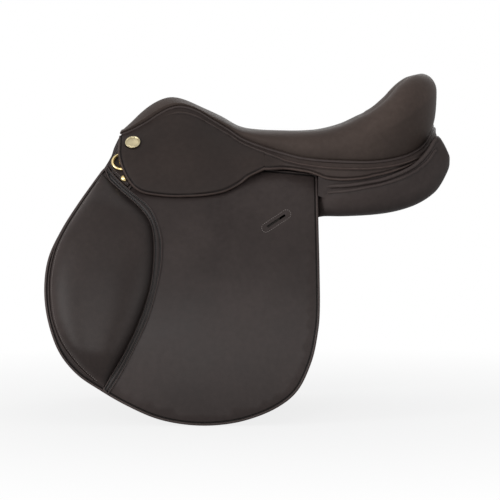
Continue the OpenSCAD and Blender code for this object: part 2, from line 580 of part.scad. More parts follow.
sweat_top_z = tree_foot_z - 4;
sweat_points = [
    [95, sweat_top_z], [96, -60], [93, -140], [80, -205], [46, -240], [-10, -258], [-80, -264],
    [-140, -256], [-195, -228], [-236, -190], [-254, -140], [-258, -90], [-248, -45],
    [-228, -5], [-198, sweat_top_z]
];
module sweat_flap() color(leather) sheet(sweat_d, sweat_d - sweat_t) polygon(path(sweat_points, 4));

// Flaps: the side-view outline is cut from the outer layer
flap_edge = [
    [flap_rear_x, 60], [111, 5], [112, -71], [112, -127], [109, -160], [100, -200], [80, -241], [49, -266],
    [6, -283], [-37, -290], [-80, -289], [-123, -280], [-166, -261], [-201, -241], [-235, -218],
    [-261, -186], [-277, -143], [-283, -99], [-278.5, -56], [-262, -18], [-239, 20], [-205, 69]
];
tape_outer = [
    [-197, 77], [-189, 66.5], [-174, 51.8], [-159, 39.5], [-136, 21.5], [-124, 3], [-116, -22], [-114, -45],
    [-117, -78], [-130, -131], [-146, -169], [-168, -212], [-186, -241]
];
notch_rear_x = -22;
notch_z = 46;
flap_tuck = 1.6;
function flap_top(x) = [x, fold_z(x) - flap_tuck];
flap_outline = concat(path(flap_edge, 4), path([for (i = [0:3]) tape_outer[i]], 2),
    [[-150, notch_z], [notch_rear_x, notch_z], flap_top(notch_rear_x), flap_top(flap_rear_x - 4)]);
slot_mid = [50, -2.5];
slot_tilt = 33;
module keeper_slot() translate(slot_mid) rotate(slot_tilt) {
    square([slot_len - slot_w, slot_w], center = true);
    for (x = [-1, 1]) translate([x * (slot_len - slot_w) / 2, 0]) circle(d = slot_w, $fn = 24);
}
module flap() color(leather) sheet(0, -flap_t) difference() {
    polygon(flap_outline);
    keeper_slot();
}

pad_front = [
    [-234, -196], [-222, -213], [-205, -231], [-180, -251], [-160, -262], [-135, -270], [-99, -274.5],
    [-70, -273], [-40, -266], [-10, -252], [20, -233.5], [42, -219], [64, -204]
];
pad_rear = [
    [-234, -196], [-222, -188], [-183, -165.5], [-141, -146], [-99, -132.5], [-65, -128], [-39, -127.5],
    [-15, -130], [2, -137], [20, -153], [42, -179], [64, -203]
];
pad_base_d = 0.4;
pad_min = 1.2;
pad_steps = 8;
pad_levels = [
    -233.5, -229, -222, -212, -198, -180, -160, -138, -115, -92, -68, -44, -22, -2, 15, 30, 42, 51, 57.5,
    61.5, 63.5
];
function pad_point(z, t, h) =
    let (a = along(pad_front, z), b = along(pad_rear, z), w = max(b - a, 0.5), x = a + w * t,
         full = pad_puff * ease(w / 90) + 2, rise = pow(max(0, 1 - pow(abs(2 * t - 1), 2.6)), 0.62))
    on_layer(x, z, pad_base_d + h * (pad_min + full * rise));
module knee_pad() color(leather) skin([for (z = pad_levels) concat(
    [for (k = [0:pad_steps]) pad_point(z, k / pad_steps, 1)],
    [for (k = [pad_steps:-1:0]) pad_point(z, k / pad_steps, 0)])]);

tape_gap = 0.6;
module knee_tape() color(leather) sheet(seat_gap / 2 + tape_t, seat_gap / 2) difference() {
    polygon(concat(path(tape_outer, 4), [for (z = [-232:12:56]) [along(pad_rear, z) + tape_gap, z]],
        [[-199.5, 69]]));
    polygon([for (p = flap_edge) if (p[1] < -200) p + [0, -40]]);
}

// Cover over the tree point, where the dee is fixed
cover_outline = concat([[-182, 110], [-187, 98], [-193, 87], [-196.5, 79.5]],
    [for (i = [1:3]) tape_outer[i] + [0.2, 1]], [[-148, 50], [-148, 90], [-160, 108]]);
module point_cover() color(leather) sheet(cover_d, cover_d - cover_depth) polygon(cover_outline);

// Stirrup bars: a base plate on the tree side, a hooked arm, and a safety catch on a pin
arm_front = -46;
arm_end = arm_front + bar_len;
post_w = 12;
base_low = -13;
base_high = 12;
arm_d = bar_base_t + bar_gap;
lap_t = bar_arm_t / 2;
catch_x = arm_end - bar_h / 2;
module on_bar() fitting(bar_x, bar_z, tree_d + seat_gap) children();
module stirrup_bar() color(steel) on_bar() difference() {
    union() {
        translate([arm_front, base_low, 0]) cube([bar_len + 4, base_high - base_low, bar_base_t]);
        translate([arm_front, -bar_h / 2, 0]) cube([post_w, bar_h, arm_d + bar_arm_t]);
        translate([arm_front, -bar_h / 2, arm_d]) cube([bar_len - bar_h, bar_h, bar_arm_t]);
        translate([arm_front, -bar_h / 2, arm_d]) cube([bar_len - bar_h / 2, bar_h, lap_t]);
        translate([catch_x, 0, arm_d]) cylinder(h = lap_t, d = bar_h, $fn = 48);
    }
    translate([catch_x, 0, arm_d - 1]) cylinder(h = bar_arm_t + 2, r = pin_r + pin_gap, $fn = 32);
    translate([catch_x, 0, arm_d + lap_t]) cylinder(h = bar_arm_t, d = bar_h + 1, $fn = 48);
    for (x = rivet_x) translate([x, rivet_y, -1]) cylinder(h = bar_base_t + 2, r = pin_r + pin_gap, $fn = 32);
}
catch_gap = 0.15;
module stirrup_catch() color(steel) on_bar() translate([catch_x, 0, arm_d + lap_t + catch_gap]) difference() {
    union() {
        cylinder(h = lap_t, d = bar_h - 1, $fn = 48);
        translate([0, -bar_h / 2 + 1.5, 0]) cube([catch_len - 3, bar_h - 3, lap_t]);
        translate([catch_len - 3, 0, 0]) cylinder(h = lap_t, d = bar_h - 3, $fn = 48);
    }
    translate([0, 0, -1]) cylinder(h = lap_t + 2, r = pin_r + pin_gap, $fn = 32);
}
module catch_pins() color(steel) both() on_bar() translate([catch_x, 0, arm_d])
    cylinder(h = bar_arm_t + catch_gap, r = pin_r, $fn = 32);
rivet_head_r = 3;
rivet_head_t = 1.5;
module bar_rivets() color(steel) both() on_bar() for (x = rivet_x) translate([x, rivet_y, 0]) {
    translate([0, 0, -tree_t / 2 + seat_gap]) cylinder(h = tree_t / 2 + bar_base_t, r = pin_r, $fn = 32);
    translate([0, 0, bar_base_t + pin_gap]) cylinder(h = rivet_head_t, r = rivet_head_r, $fn = 32);
}

// Front dees: a wire dee turning in a brass clip, with a domed screw
dee_x = -176;
dee_z = 80;
dee_tilt = 12;
clip_t = 1.4;
clip_half = 5;
clip_w = 12;
clip_foot_w = 6;
clip_foot_x = dee_wire_r + 1.5;
screw_at = [-1.2, -27.2];
screw_rise = 3;
dee_lift = dee_wire_r + pin_gap + clip_t;
module on_cover() fitting(dee_x, dee_z, cover_d + seat_gap / 2) rotate(dee_tilt) children();
module dee_ring() color(brass) on_cover() translate([0, 0, dee_lift]) {
    rotate(90) rotate_extrude(angle = 180, $fn = 64) translate([dee_r, 0]) circle(dee_wire_r, $fn = 32);
    translate([0, dee_r, 0]) rotate([90, 0, 0]) cylinder(h = 2 * dee_r, r = dee_wire_r, $fn = 32);
    for (y = [-1, 1]) translate([0, y * dee_r, 0]) sphere(dee_wire_r, $fn = 32);
}
module dee_clip() color(brass) on_cover() difference() {
    union() {
        translate([0, -clip_half, dee_lift]) rotate([-90, 0, 0])
            cylinder(h = 2 * clip_half, r = dee_lift, $fn = 48);
        translate([0, -clip_half, 0]) cube([clip_w, 2 * clip_half, clip_t]);
        translate([clip_foot_x, screw_at[1], 0]) cube([clip_foot_w, clip_half - screw_at[1], clip_t]);
        translate([screw_at[0], screw_at[1], 0])
            cube([clip_foot_x + clip_foot_w - screw_at[0], screw_d / 2 - 1, clip_t]);
        translate(screw_at) cylinder(h = clip_t, d = screw_d - seat_gap, $fn = 48);
    }
    translate([0, -clip_half - 1, dee_lift]) rotate([-90, 0, 0])
        cylinder(h = 2 * clip_half + 2, r = dee_wire_r + pin_gap, $fn = 48);
}
module dee_screw() on_cover() translate([screw_at[0], screw_at[1], clip_t + seat_gap / 2]) {
    ball = (screw_d * screw_d / 4 + screw_rise * screw_rise) / (2 * screw_rise);
    intersection() {
        translate([0, 0, screw_rise - ball]) sphere(ball, $fn = 64);
        cylinder(h = screw_rise + 1, d = screw_d, $fn = 48);
    }
}
module dee_screws() color(brass) both() dee_screw();

seat_cover();
seat_foam();
seat_welt();
skirt();  // skirt_left
right() skirt();  // skirt_right
skirt_lap();  // skirt_lap_left
right() skirt_lap();  // skirt_lap_right
skirt_studs();
front_facing();
rear_facing();
gullet_lining();
tree_head();
tree_cantle();
tree_side();  // tree_side_left
right() tree_side();  // tree_side_right
tree_rail();  // tree_rail_left
right() tree_rail();  // tree_rail_right
tree_spring();  // tree_spring_left
right() tree_spring();  // tree_spring_right
gullet_plate();
seat_strainers();
girth_webs();  // girth_webs_left
right() girth_webs();  // girth_webs_right
panel();  // panel_left
right() panel();  // panel_right
panel_welt();  // panel_welt_left
right() panel_welt();  // panel_welt_right
sweat_flap();  // sweat_flap_left
right() sweat_flap();  // sweat_flap_right
girth_guard();  // girth_guard_left
right() girth_guard();  // girth_guard_right
girth_strap(strap_x[0]);  // girth_strap_front_left
girth_strap(strap_x[1]);  // girth_strap_middle_left
girth_strap(strap_x[2]);  // girth_strap_rear_left
right() girth_strap(strap_x[0]);  // girth_strap_front_right
right() girth_strap(strap_x[1]);  // girth_strap_middle_right
right() girth_strap(strap_x[2]);  // girth_strap_rear_right
flap();  // flap_left
right() flap();  // flap_right
knee_pad();  // knee_pad_left
right() knee_pad();  // knee_pad_right
knee_tape();  // knee_tape_left
right() knee_tape();  // knee_tape_right
point_cover();  // point_cover_left
right() point_cover();  // point_cover_right
stirrup_bar();  // stirrup_bar_left
right() stirrup_bar();  // stirrup_bar_right
stirrup_catch();  // stirrup_catch_left
right() stirrup_catch();  // stirrup_catch_right
catch_pins();
bar_rivets();
dee_ring();  // dee_ring_left
right() dee_ring();  // dee_ring_right
dee_clip();  // dee_clip_left
right() dee_clip();  // dee_clip_right
dee_screws();
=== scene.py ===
import math

import bmesh
import bpy
import numpy as np
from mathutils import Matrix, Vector
from mathutils.geometry import delaunay_2d_cdt


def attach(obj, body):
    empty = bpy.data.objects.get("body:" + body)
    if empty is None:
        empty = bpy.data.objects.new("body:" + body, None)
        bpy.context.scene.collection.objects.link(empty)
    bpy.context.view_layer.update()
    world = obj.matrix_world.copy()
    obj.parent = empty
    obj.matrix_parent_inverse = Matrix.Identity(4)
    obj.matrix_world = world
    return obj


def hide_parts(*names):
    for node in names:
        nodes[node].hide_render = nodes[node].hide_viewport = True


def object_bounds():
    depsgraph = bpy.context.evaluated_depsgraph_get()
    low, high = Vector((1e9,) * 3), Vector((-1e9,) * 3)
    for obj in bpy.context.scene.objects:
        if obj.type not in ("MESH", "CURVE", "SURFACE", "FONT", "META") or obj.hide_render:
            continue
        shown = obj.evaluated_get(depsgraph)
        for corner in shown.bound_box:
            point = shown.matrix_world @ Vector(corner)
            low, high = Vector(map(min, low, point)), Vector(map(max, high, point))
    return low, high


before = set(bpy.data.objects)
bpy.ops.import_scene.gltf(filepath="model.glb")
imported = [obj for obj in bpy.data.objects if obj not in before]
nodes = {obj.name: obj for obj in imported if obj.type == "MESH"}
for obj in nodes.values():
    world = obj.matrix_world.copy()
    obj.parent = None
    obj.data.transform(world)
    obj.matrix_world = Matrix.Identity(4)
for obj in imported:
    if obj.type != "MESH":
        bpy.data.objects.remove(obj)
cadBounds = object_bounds()

mm = 0.001
sides = {"left": 1, "right": -1}  # the near side is left, at -Y


# Smooth curves through tables, the same rules that shape the solids
def ease(t):
    c = np.clip(t, 0, 1)
    return c * c * (3 - 2 * c)


def mix(a, b, t):
    return a + (b - a) * t


def hump(x, amount, at, wide, power=2):
    return amount * np.exp(-((x - at) / wide) ** power)


def along(table, x):
    t = np.asarray(table, float)
    x = np.asarray(x, float)
    last = len(t) - 1
    i = np.clip(np.searchsorted(t[:, 0], x, side="right") - 1, 0, last - 1)
    low, high = np.maximum(np.arange(last + 1) - 1, 0), np.minimum(np.arange(last + 1) + 1, last)
    slope = (t[high, 1] - t[low, 1]) / (t[high, 0] - t[low, 0])
    w = t[i + 1, 0] - t[i, 0]
    u = np.clip((x - t[i, 0]) / w, 0, 1)
    v = 1 - u
    return (t[i, 1] * (1 + 2 * u) * v * v + t[i + 1, 1] * u * u * (3 - 2 * u)
            + w * slope[i] * u * v * v - w * slope[i + 1] * u * u * v)


def levelEnd(table):
    end, before = table[-1], table[-2]
    return table + [(2 * end[0] - before[0], before[1])]


def pathAt(points, q):
    p = np.asarray(points, float)
    w = np.clip(np.atleast_1d(q), 0, 1) * (len(p) - 1)
    i = np.minimum(np.floor(w).astype(int), len(p) - 2)
    u = (w - i)[:, None]
    a, b, c, d = (p[np.clip(i + k, 0, len(p) - 1)] for k in (-1, 0, 1, 2))
    return 0.5 * (2 * b + (c - a) * u + (2 * a - 5 * b + 4 * c - d) * u ** 2
                  + (3 * b - a - 3 * c + d) * u ** 3)


def pathThrough(points, steps):
    return pathAt(points, np.linspace(0, 1, (len(points) - 1) * steps + 1))


def unit(v):
    v = np.asarray(v, float)
    return v / np.maximum(np.linalg.norm(v, axis=-1, keepdims=True), 1e-12)


def evenly(points, spacing):
    p = np.asarray(points, float)
    run = np.concatenate([[0], np.cumsum(np.linalg.norm(np.diff(p, axis=0), axis=1))])
    count = max(2, int(round(run[-1] / spacing)) + 1)
    at = np.linspace(0, run[-1], count)
    return np.stack([np.interp(at, run, p[:, k]) for k in range(p.shape[1])], 1)


# Meshes
def sided(points, side):
    p = np.array(points, float)
    p[..., 1] *= side
    return p


def gridFaces(rows, cols, start=0, wrap=False):
    faces = []
    for i in range(rows - 1):
        for k in range(cols if wrap else cols - 1):
            n = (k + 1) % cols
            a, b = start + i * cols, start + (i + 1) * cols
            faces.append((a + k, a + n, b + n, b + k))
    return faces


def makePiece(name, verts, faces, material, merge=0.01, tone=None):
    mesh = bpy.data.meshes.new(name)
    mesh.from_pydata((np.asarray(verts, float) * mm).tolist(), [], faces)
    if tone is not None:  # above 0 painted light, such as highlights on edges and beads and lit areas, below 0 painted shade in grooves, creases and undersides
        shade = mesh.attributes.new("tone", "FLOAT", "POINT")
        shade.data.foreach_set("value", np.asarray(tone, np.float32).ravel())
    work = bmesh.new()
    work.from_mesh(mesh)
    if merge:
        bmesh.ops.remove_doubles(work, verts=work.verts, dist=merge * mm)
        bmesh.ops.dissolve_degenerate(work, edges=work.edges, dist=1e-7)
    loose = [v for v in work.verts if not v.link_faces]
    bmesh.ops.delete(work, geom=loose, context="VERTS")
    bmesh.ops.recalc_face_normals(work, faces=work.faces)
    work.to_mesh(mesh)
    work.free()
    mesh.materials.append(material)
    mesh.polygons.foreach_set("use_smooth", [True] * len(mesh.polygons))
    piece = bpy.data.objects.new(name, mesh)
    bpy.context.scene.collection.objects.link(piece)
    return piece


def sharpen(piece, degrees):
    mesh = piece.data
    work = bmesh.new()
    work.from_mesh(mesh)
    for edge in work.edges:
        edge.smooth = not (len(edge.link_faces) == 2 and edge.calc_face_angle(0) > math.radians(degrees))
    work.to_mesh(mesh)
    work.free()
    return piece


def loft(rings, closeRing=True, capStart=True, capEnd=True):
    count, cols = len(rings), len(rings[0])
    verts = np.concatenate([np.asarray(r, float) for r in rings])
    faces = gridFaces(count, cols, 0, closeRing)
    if capStart:
        faces.append(tuple(range(cols)))
    if capEnd:
        faces.append(tuple(range((count - 1) * cols, count * cols)))
    return verts, faces


def turned(profile, steps):  # profile of (radius, height) turned about its own Z
    angles = np.linspace(0, 2 * math.pi, steps, endpoint=False)
    rings = [np.stack([r * np.cos(angles), r * np.sin(angles), np.full(steps, h)], 1) for r, h in profile]
    return loft(rings)


def settle(piece, body, *replaced, slot="leather", fill=None):
    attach(piece, body)
    if replaced:
        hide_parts(*replaced)
    return piece


# Nodes: a feed is a constant, an output socket, or a node whose first output is meant
def feed(tree, socket, value):
    if isinstance(value, bpy.types.Node):
        value = value.outputs[0]
    if isinstance(value, bpy.types.NodeSocket):
        tree.links.new(value, socket)
    else:
        socket.default_value = value


def newNode(tree, kind, feeds=None, **settings):
    node = tree.nodes.new(kind)
    for key, value in settings.items():
        setattr(node, key, value)
    for key, value in (feeds or {}).items():
        feed(tree, node.inputs[key], value)
    return node


# Finishes
def startFinish(name):
    mat = bpy.data.materials.new(name)
    mat.use_nodes = True

    def add(kind, feeds=None, **settings):
        return newNode(mat.node_tree, "ShaderNode" + kind, feeds, **settings)

    return mat, add, add("TexCoord").outputs["Object"]


def endFinish(mat, add, height, bump, feeds):
    normal = add("Bump", {"Strength": bump[0], "Distance": bump[1], "Height": height})
    shader = mat.node_tree.nodes["Principled BSDF"]
    for key, value in {**feeds, "Normal": normal}.items():
        feed(mat.node_tree, shader.inputs[key], value)
    return mat


def toneRamp(add, amount, stops, colours):
    ramp = add("ValToRGB", {"Fac": amount})
    elements = ramp.color_ramp.elements
    while len(elements) < len(stops):
        elements.new(0.5)
    for element, stop, colour in zip(elements, stops, colours):
        element.position = stop
        element.color = (*colour, 1)
    return ramp


leatherLook = {
    "tones": ((0.0195, 0.0146, 0.0136), (0.0262, 0.0198, 0.0184), (0.034, 0.026, 0.0242)),
    "toneScale": 9.0, "mottleScale": 140.0, "mottle": 0.35, "grainScale": 1150.0, "creaseScale": 260.0,
    "creaseDepth": 0.5, "roughness": (0.36, 0.46), "bump": 0.16, "bumpDepth": 0.00025, "specular": 0.13,
}


def leatherFinish(name, **changes):
    look = {**leatherLook, **changes}
    mat, add, coords = startFinish(name)
    tone = add("TexNoise", {"Vector": coords, "Scale": look["toneScale"], "Detail": 4.0, "Roughness": 0.55})
    mottle = add("TexNoise", {"Vector": coords, "Scale": look["mottleScale"], "Detail": 2.0})
    pores = add("TexVoronoi", {"Vector": coords, "Scale": look["grainScale"], "Smoothness": 0.6},
                feature="SMOOTH_F1")
    creases = add("TexNoise", {"Vector": coords, "Scale": look["creaseScale"], "Detail": 5.0,
                               "Roughness": 0.6, "Distortion": 0.4})
    blend = add("Math", {0: mottle, 1: look["mottle"], 2: tone}, operation="MULTIPLY_ADD")
    colour = toneRamp(add, blend, (0.4, 0.66, 0.9), look["tones"])
    # the tone attribute scales the colour: painted light above 0, painted shade below 0
    paintedLightAndShade = add("Attribute", attribute_name="tone").outputs["Fac"]
    gain = add("Math", {0: paintedLightAndShade, 1: 1.0}, operation="ADD")
    shaded = add("VectorMath", {0: colour, "Scale": gain}, operation="SCALE")
    least, most = look["roughness"]
    rough = add("MapRange", {"Value": tone, "From Min": 0.3, "From Max": 0.7,
                             "To Min": least, "To Max": most})
    height = add("Math", {0: creases, 1: look["creaseDepth"], 2: pores}, operation="MULTIPLY_ADD")
    return endFinish(mat, add, height, (look["bump"], look["bumpDepth"]), {
        "Base Color": shaded, "Roughness": rough, "Specular IOR Level": look["specular"]})


flapLeather = leatherFinish("flapLeather")
# a darker copy of the flap leather: painted shade for the lesser light on the skirts
shadedSkirtLeather = leatherFinish(
    "shadedSkirtLeather", tones=((0.0145, 0.0102, 0.0089), (0.0193, 0.0136, 0.0119), (0.0257, 0.0184, 0.016)),
    roughness=(0.54, 0.64))
# a lighter copy of the flap leather: painted light standing in for the light on the seat's top
litSeatLeather = leatherFinish(
    "litSeatLeather", tones=((0.03, 0.0212, 0.0178), (0.039, 0.028, 0.0236), (0.05, 0.0365, 0.031)),
    roughness=(0.62, 0.74), creaseScale=190.0)
# a darker copy of the flap leather: painted shade, as on the skirts
shadedPadLeather = leatherFinish(
    "shadedPadLeather", tones=((0.0165, 0.0122, 0.0112), (0.022, 0.0164, 0.015), (0.029, 0.0218, 0.02)),
    grainScale=620.0, bump=0.3, roughness=(0.38, 0.48))
panelLeather = leatherFinish("panelLeather", grainScale=780.0, bump=0.26, roughness=(0.46, 0.58),
                             creaseScale=120.0)
liningLeather = leatherFinish(
    "liningLeather", tones=((0.026, 0.019, 0.0165), (0.034, 0.025, 0.0215), (0.045, 0.033, 0.028)),
    roughness=(0.55, 0.68))
strapLeather = leatherFinish("strapLeather", grainScale=900.0, roughness=(0.42, 0.55))
# a lighter copy of the flap leather: painted highlight along the rolls and pipings
litPipingLeather = leatherFinish(
    "litPipingLeather", tones=((0.027, 0.0203, 0.0187), (0.037, 0.028, 0.026), (0.047, 0.036, 0.033)),
    roughness=(0.54, 0.64))


def threadFinish(name, colours):
    mat, add, coords = startFinish(name)
    fibre = add("TexNoise", {"Vector": coords, "Scale": 2400.0, "Detail": 2.0})
    return endFinish(mat, add, fibre, (0.4, 0.0001), {
        "Base Color": toneRamp(add, fibre, (0.3, 0.7), colours), "Roughness": 0.62, "Sheen Weight": 0.2})


thread = threadFinish("waxedThread", ((0.09, 0.075, 0.068), (0.15, 0.128, 0.118)))
darkThread = threadFinish("darkThread", ((0.012, 0.009, 0.008), (0.024, 0.018, 0.016)))


def metalFinish(name, colours, roughness, brushScale, brush):
    mat, add, coords = startFinish(name)
    stretch = add("Mapping", {"Vector": coords, "Scale": brushScale})
    lines = add("TexNoise", {"Vector": stretch, "Scale": 1.0, "Detail": 3.0})
    cloud = add("TexNoise", {"Vector": coords, "Scale": 70.0, "Detail": 3.0})
    rough = add("MapRange", {"Value": lines, "To Min": roughness[0], "To Max": roughness[1]})
    return endFinish(mat, add, lines, (brush, 0.0001), {
        "Base Color": toneRamp(add, cloud, (0.32, 0.68), colours), "Roughness": rough, "Metallic": 1.0})


brass = metalFinish("paleBrass", ((0.62, 0.47, 0.21), (0.76, 0.61, 0.31)), (0.18, 0.34), (900, 900, 900),
                    0.06)
badgeBrass = metalFinish("satinBadge", ((0.35, 0.3, 0.185), (0.49, 0.43, 0.275)), (0.26, 0.4),
                         (600, 600, 600), 0.08)
steel = metalFinish("brushedSteel", ((0.44, 0.44, 0.45), (0.58, 0.58, 0.59)), (0.24, 0.42),
                    (90, 2200, 2200), 0.12)
springSteel = metalFinish("bluedSpring", ((0.07, 0.085, 0.12), (0.13, 0.15, 0.2)), (0.3, 0.45),
                          (60, 1500, 1500), 0.1)


def webbingFinish(name, colours):
    mat, add, coords = startFinish(name)
    warp, weft = (add("TexWave", {"Vector": coords, "Scale": scale, "Distortion": 0.6}, wave_type="BANDS",
                      bands_direction=way).outputs["Fac"] for way, scale in (("X", 190.0), ("Z", 150.0)))
    soilAndShade = add("TexNoise", {"Vector": coords, "Scale": 40.0, "Detail": 3.0})
    weave = add("Math", {0: warp, 1: weft}, operation="MULTIPLY")
    shade = add("Math", {0: weave, 1: 0.5, 2: soilAndShade}, operation="MULTIPLY_ADD")
    return endFinish(mat, add, weave, (0.5, 0.0004), {
        "Base Color": toneRamp(add, shade, (0.35, 0.85), colours), "Roughness": 0.85, "Sheen Weight": 0.25})


webbing = webbingFinish("linenWeb", ((0.2, 0.175, 0.135), (0.42, 0.385, 0.31)))
girthWebbing = webbingFinish("brownWeb", ((0.012, 0.009, 0.008), (0.03, 0.024, 0.02)))


def beechFinish(name, colours):
    mat, add, coords = startFinish(name)
    run = add("Mapping", {"Vector": coords, "Scale": (9, 60, 60)})
    rings = add("TexNoise", {"Vector": run, "Scale": 3.0, "Detail": 6.0, "Distortion": 0.5})
    flecks = add("TexNoise", {"Vector": run, "Scale": 40.0, "Detail": 2.0})
    return endFinish(mat, add, flecks, (0.15, 0.0003), {
        "Base Color": toneRamp(add, rings, (0.35, 0.65), colours), "Roughness": 0.5})


beech = beechFinish("varnishedBeech", ((0.035, 0.02, 0.012), (0.07, 0.041, 0.024)))


def foamFinish(name, colours):
    mat, add, coords = startFinish(name)
    cells = add("TexVoronoi", {"Vector": coords, "Scale": 900.0})
    return endFinish(mat, add, cells, (0.6, 0.0005), {
        "Base Color": toneRamp(add, cells, (0.1, 0.7), colours), "Roughness": 0.9})


foam = foamFinish("latexFoam", ((0.42, 0.37, 0.25), (0.62, 0.57, 0.42)))
print("finishes made:", len(bpy.data.materials))


# Geometry Nodes: a row of stitches, and a round piping, each along a path
def newTree(name, inputs):
    tree = bpy.data.node_groups.new(name, "GeometryNodeTree")
    tree.interface.new_socket("Path", in_out="INPUT", socket_type="NodeSocketGeometry")
    ids = {}
    for label, kind, value in inputs:
        socket = tree.interface.new_socket(label, in_out="INPUT", socket_type=kind)
        if value is not None:
            socket.default_value = value
        ids[label] = socket.identifier
    tree.interface.new_socket("Made", in_out="OUTPUT", socket_type="NodeSocketGeometry")

    def add(kind, feeds=None, **settings):
        return newNode(tree, kind, feeds, **settings)

    return tree, ids, add("NodeGroupInput").outputs, add


def endTree(add, made, material):
    real = add("GeometryNodeRealizeInstances", {"Geometry": made})
    smooth = add("GeometryNodeSetShadeSmooth", {"Geometry": real})
    paint = add("GeometryNodeSetMaterial", {"Geometry": smooth, "Material": material})
    add("NodeGroupOutput", {"Made": paint})


def stitchTree():
    tree, ids, given, add = newTree("stitchRow", [
        ("Pitch", "NodeSocketFloat", 0.003), ("Size", "NodeSocketVector", (1, 1, 1)),
        ("Slant", "NodeSocketFloat", 0.12), ("Thread", "NodeSocketMaterial", None)])
    curve = add("GeometryNodeMeshToCurve", {"Mesh": given["Path"]})
    spread = add("GeometryNodeResampleCurve", {"Curve": curve, "Length": given["Pitch"]}, mode="LENGTH")
    outward = add("GeometryNodeInputNamedAttribute", {"Name": "outward"}, data_type="FLOAT_VECTOR")
    lay = add("FunctionNodeAlignRotationToVector", {"Vector": add("GeometryNodeInputTangent")}, axis="X")
    stand = add("FunctionNodeAlignRotationToVector",
                {"Rotation": lay, "Vector": outward.outputs["Attribute"]}, axis="Z", pivot_axis="X")
    turn = add("FunctionNodeAxisAngleToRotation", {"Axis": (0, 0, 1), "Angle": given["Slant"]})
    slant = add("FunctionNodeRotateRotation", {"Rotation": stand, "Rotate By": turn}, rotation_space="LOCAL")
    bead = add("GeometryNodeMeshUVSphere", {"Segments": 6, "Rings": 5, "Radius": 1.0})
    shape = add("GeometryNodeTransform", {"Geometry": bead, "Scale": given["Size"]})
    row = add("GeometryNodeInstanceOnPoints", {"Points": spread, "Instance": shape, "Rotation": slant})
    endTree(add, row, given["Thread"])
    return tree, ids


def pipingTree():
    tree, ids, given, add = newTree("roundPiping", [
        ("Radius", "NodeSocketFloat", 0.002), ("Sides", "NodeSocketInt", 12),
        ("Leather", "NodeSocketMaterial", None)])
    curve = add("GeometryNodeMeshToCurve", {"Mesh": given["Path"]})
    ring = add("GeometryNodeCurvePrimitiveCircle", {"Radius": given["Radius"], "Resolution": given["Sides"]})
    tube = add("GeometryNodeCurveToMesh", {"Curve": curve, "Profile Curve": ring, "Fill Caps": True})
    endTree(add, tube, given["Leather"])
    return tree, ids


stitchNodes, stitchInputs = stitchTree()
pipingNodes, pipingInputs = pipingTree()


def grow(name, tree, ids, rows, values):
    verts, edges, out = [], [], []
    for points, normals in rows:
        first = len(verts)
        verts += (np.asarray(points, float) * mm).tolist()
        out.append(unit(normals))
        edges += [(first + k, first + k + 1) for k in range(len(points) - 1)]
    mesh = bpy.data.meshes.new(name)
    mesh.from_pydata(verts, edges, [])
    outward = mesh.attributes.new("outward", "FLOAT_VECTOR", "POINT")
    outward.data.foreach_set("vector", np.concatenate(out).astype(np.float32).ravel())
    piece = bpy.data.objects.new(name, mesh)
    bpy.context.scene.collection.objects.link(piece)
    rule = piece.modifiers.new("rule", "NODES")
    rule.node_group = tree
    for label, value in values.items():
        rule[ids[label]] = value
    bpy.context.view_layer.update()
    made = bpy.data.meshes.new_from_object(piece.evaluated_get(bpy.context.evaluated_depsgraph_get()))
    made.name = name
    piece.modifiers.clear()
    piece.data = made
    return piece


def pipe(name, path, radius, leather=litPipingLeather, around=12):
    rows = [(path, np.tile([0, 0, 1.0], (len(path), 1)))]
    return grow(name, pipingNodes, pipingInputs, rows,
                {"Radius": radius * mm, "Sides": around, "Leather": leather})


stitchLook = {"pitch": 3.1, "length": 2.1, "width": 1.0, "height": 0.7, "slant": 0.12, "pathStep": 1.5}
stitchRows = {}  # body and thread: list of (points, outward normals)


def sew(body, points, normals, dark=False):
    stitchRows.setdefault((body, dark), []).append((np.asarray(points, float), unit(normals)))


# The seat
seat = {"front": -181.0, "roundX": 190.0, "tail": 280.0, "pommel": 177.0, "dip": 127.0, "cantle": 212.0,
        "pommelWide": 120.0, "waistWide": 96.0, "wide": 260.0, "reach": 94.0, "leather": 2.4, "foam": 22.0,
        "leatherFront": -178.5, "foamFront": -174.0, "foamGap": 0.6, "foamLeast": 2.0, "crownIn": 4,
        "crownSteps": 10, "archSteps": 14, "tuckSteps": 8, "paintedLight": 0.22, "lightFrom": 165.0, "lightRun": 50.0,
        "tuckShade": 0.35}
pw, ww, sw, reach = seat["pommelWide"], seat["waistWide"], seat["wide"], seat["reach"]
pommel, dip, cantle = seat["pommel"], seat["dip"], seat["cantle"]
front, roundX, tail = seat["front"], seat["roundX"], seat["tail"]
ridgeTable = levelEnd([
    (front, pommel - 51.5), (-166, pommel - 38), (-150, pommel - 22.5), (-135, pommel - 11),
    (-118, pommel - 2.5), (-103, pommel), (-85, pommel - 4), (-60, pommel - 15),
    (-30, mix(dip, pommel, 0.42)), (-5, dip + 7), (20, dip + 2), (60, dip), (95, dip), (120, dip + 2.5),
    (150, dip + 10.5), (175, dip + 22), (roundX, dip + 30), (205, cantle - 36), (220, cantle - 15),
    (235, cantle - 4), (250, cantle - 1), (tail, cantle)])
dishTable = [(20, 0), (60, 1), (100, 4), (150, 10), (roundX, 16)]
seamOutTable = levelEnd([
    (front, pw / 2), (-162, pw / 2 - 2), (-135, mix(ww, pw, 0.42) / 2), (-108, ww / 2), (-63, ww / 2 + 2),
    (-18, mix(ww, sw, 0.18) / 2), (27, mix(ww, sw, 0.45) / 2), (72, mix(ww, sw, 0.72) / 2), (115, sw / 2 - 8),
    (158, sw / 2), (roundX, sw / 2), (205, sw / 2 - 5), (220, mix(reach, sw / 2, 0.64)),
    (235, mix(reach, sw / 2, 0.42)), (250, mix(reach, sw / 2, 0.22)), (265, mix(reach, sw / 2, 0.06)),
    (tail, reach)])
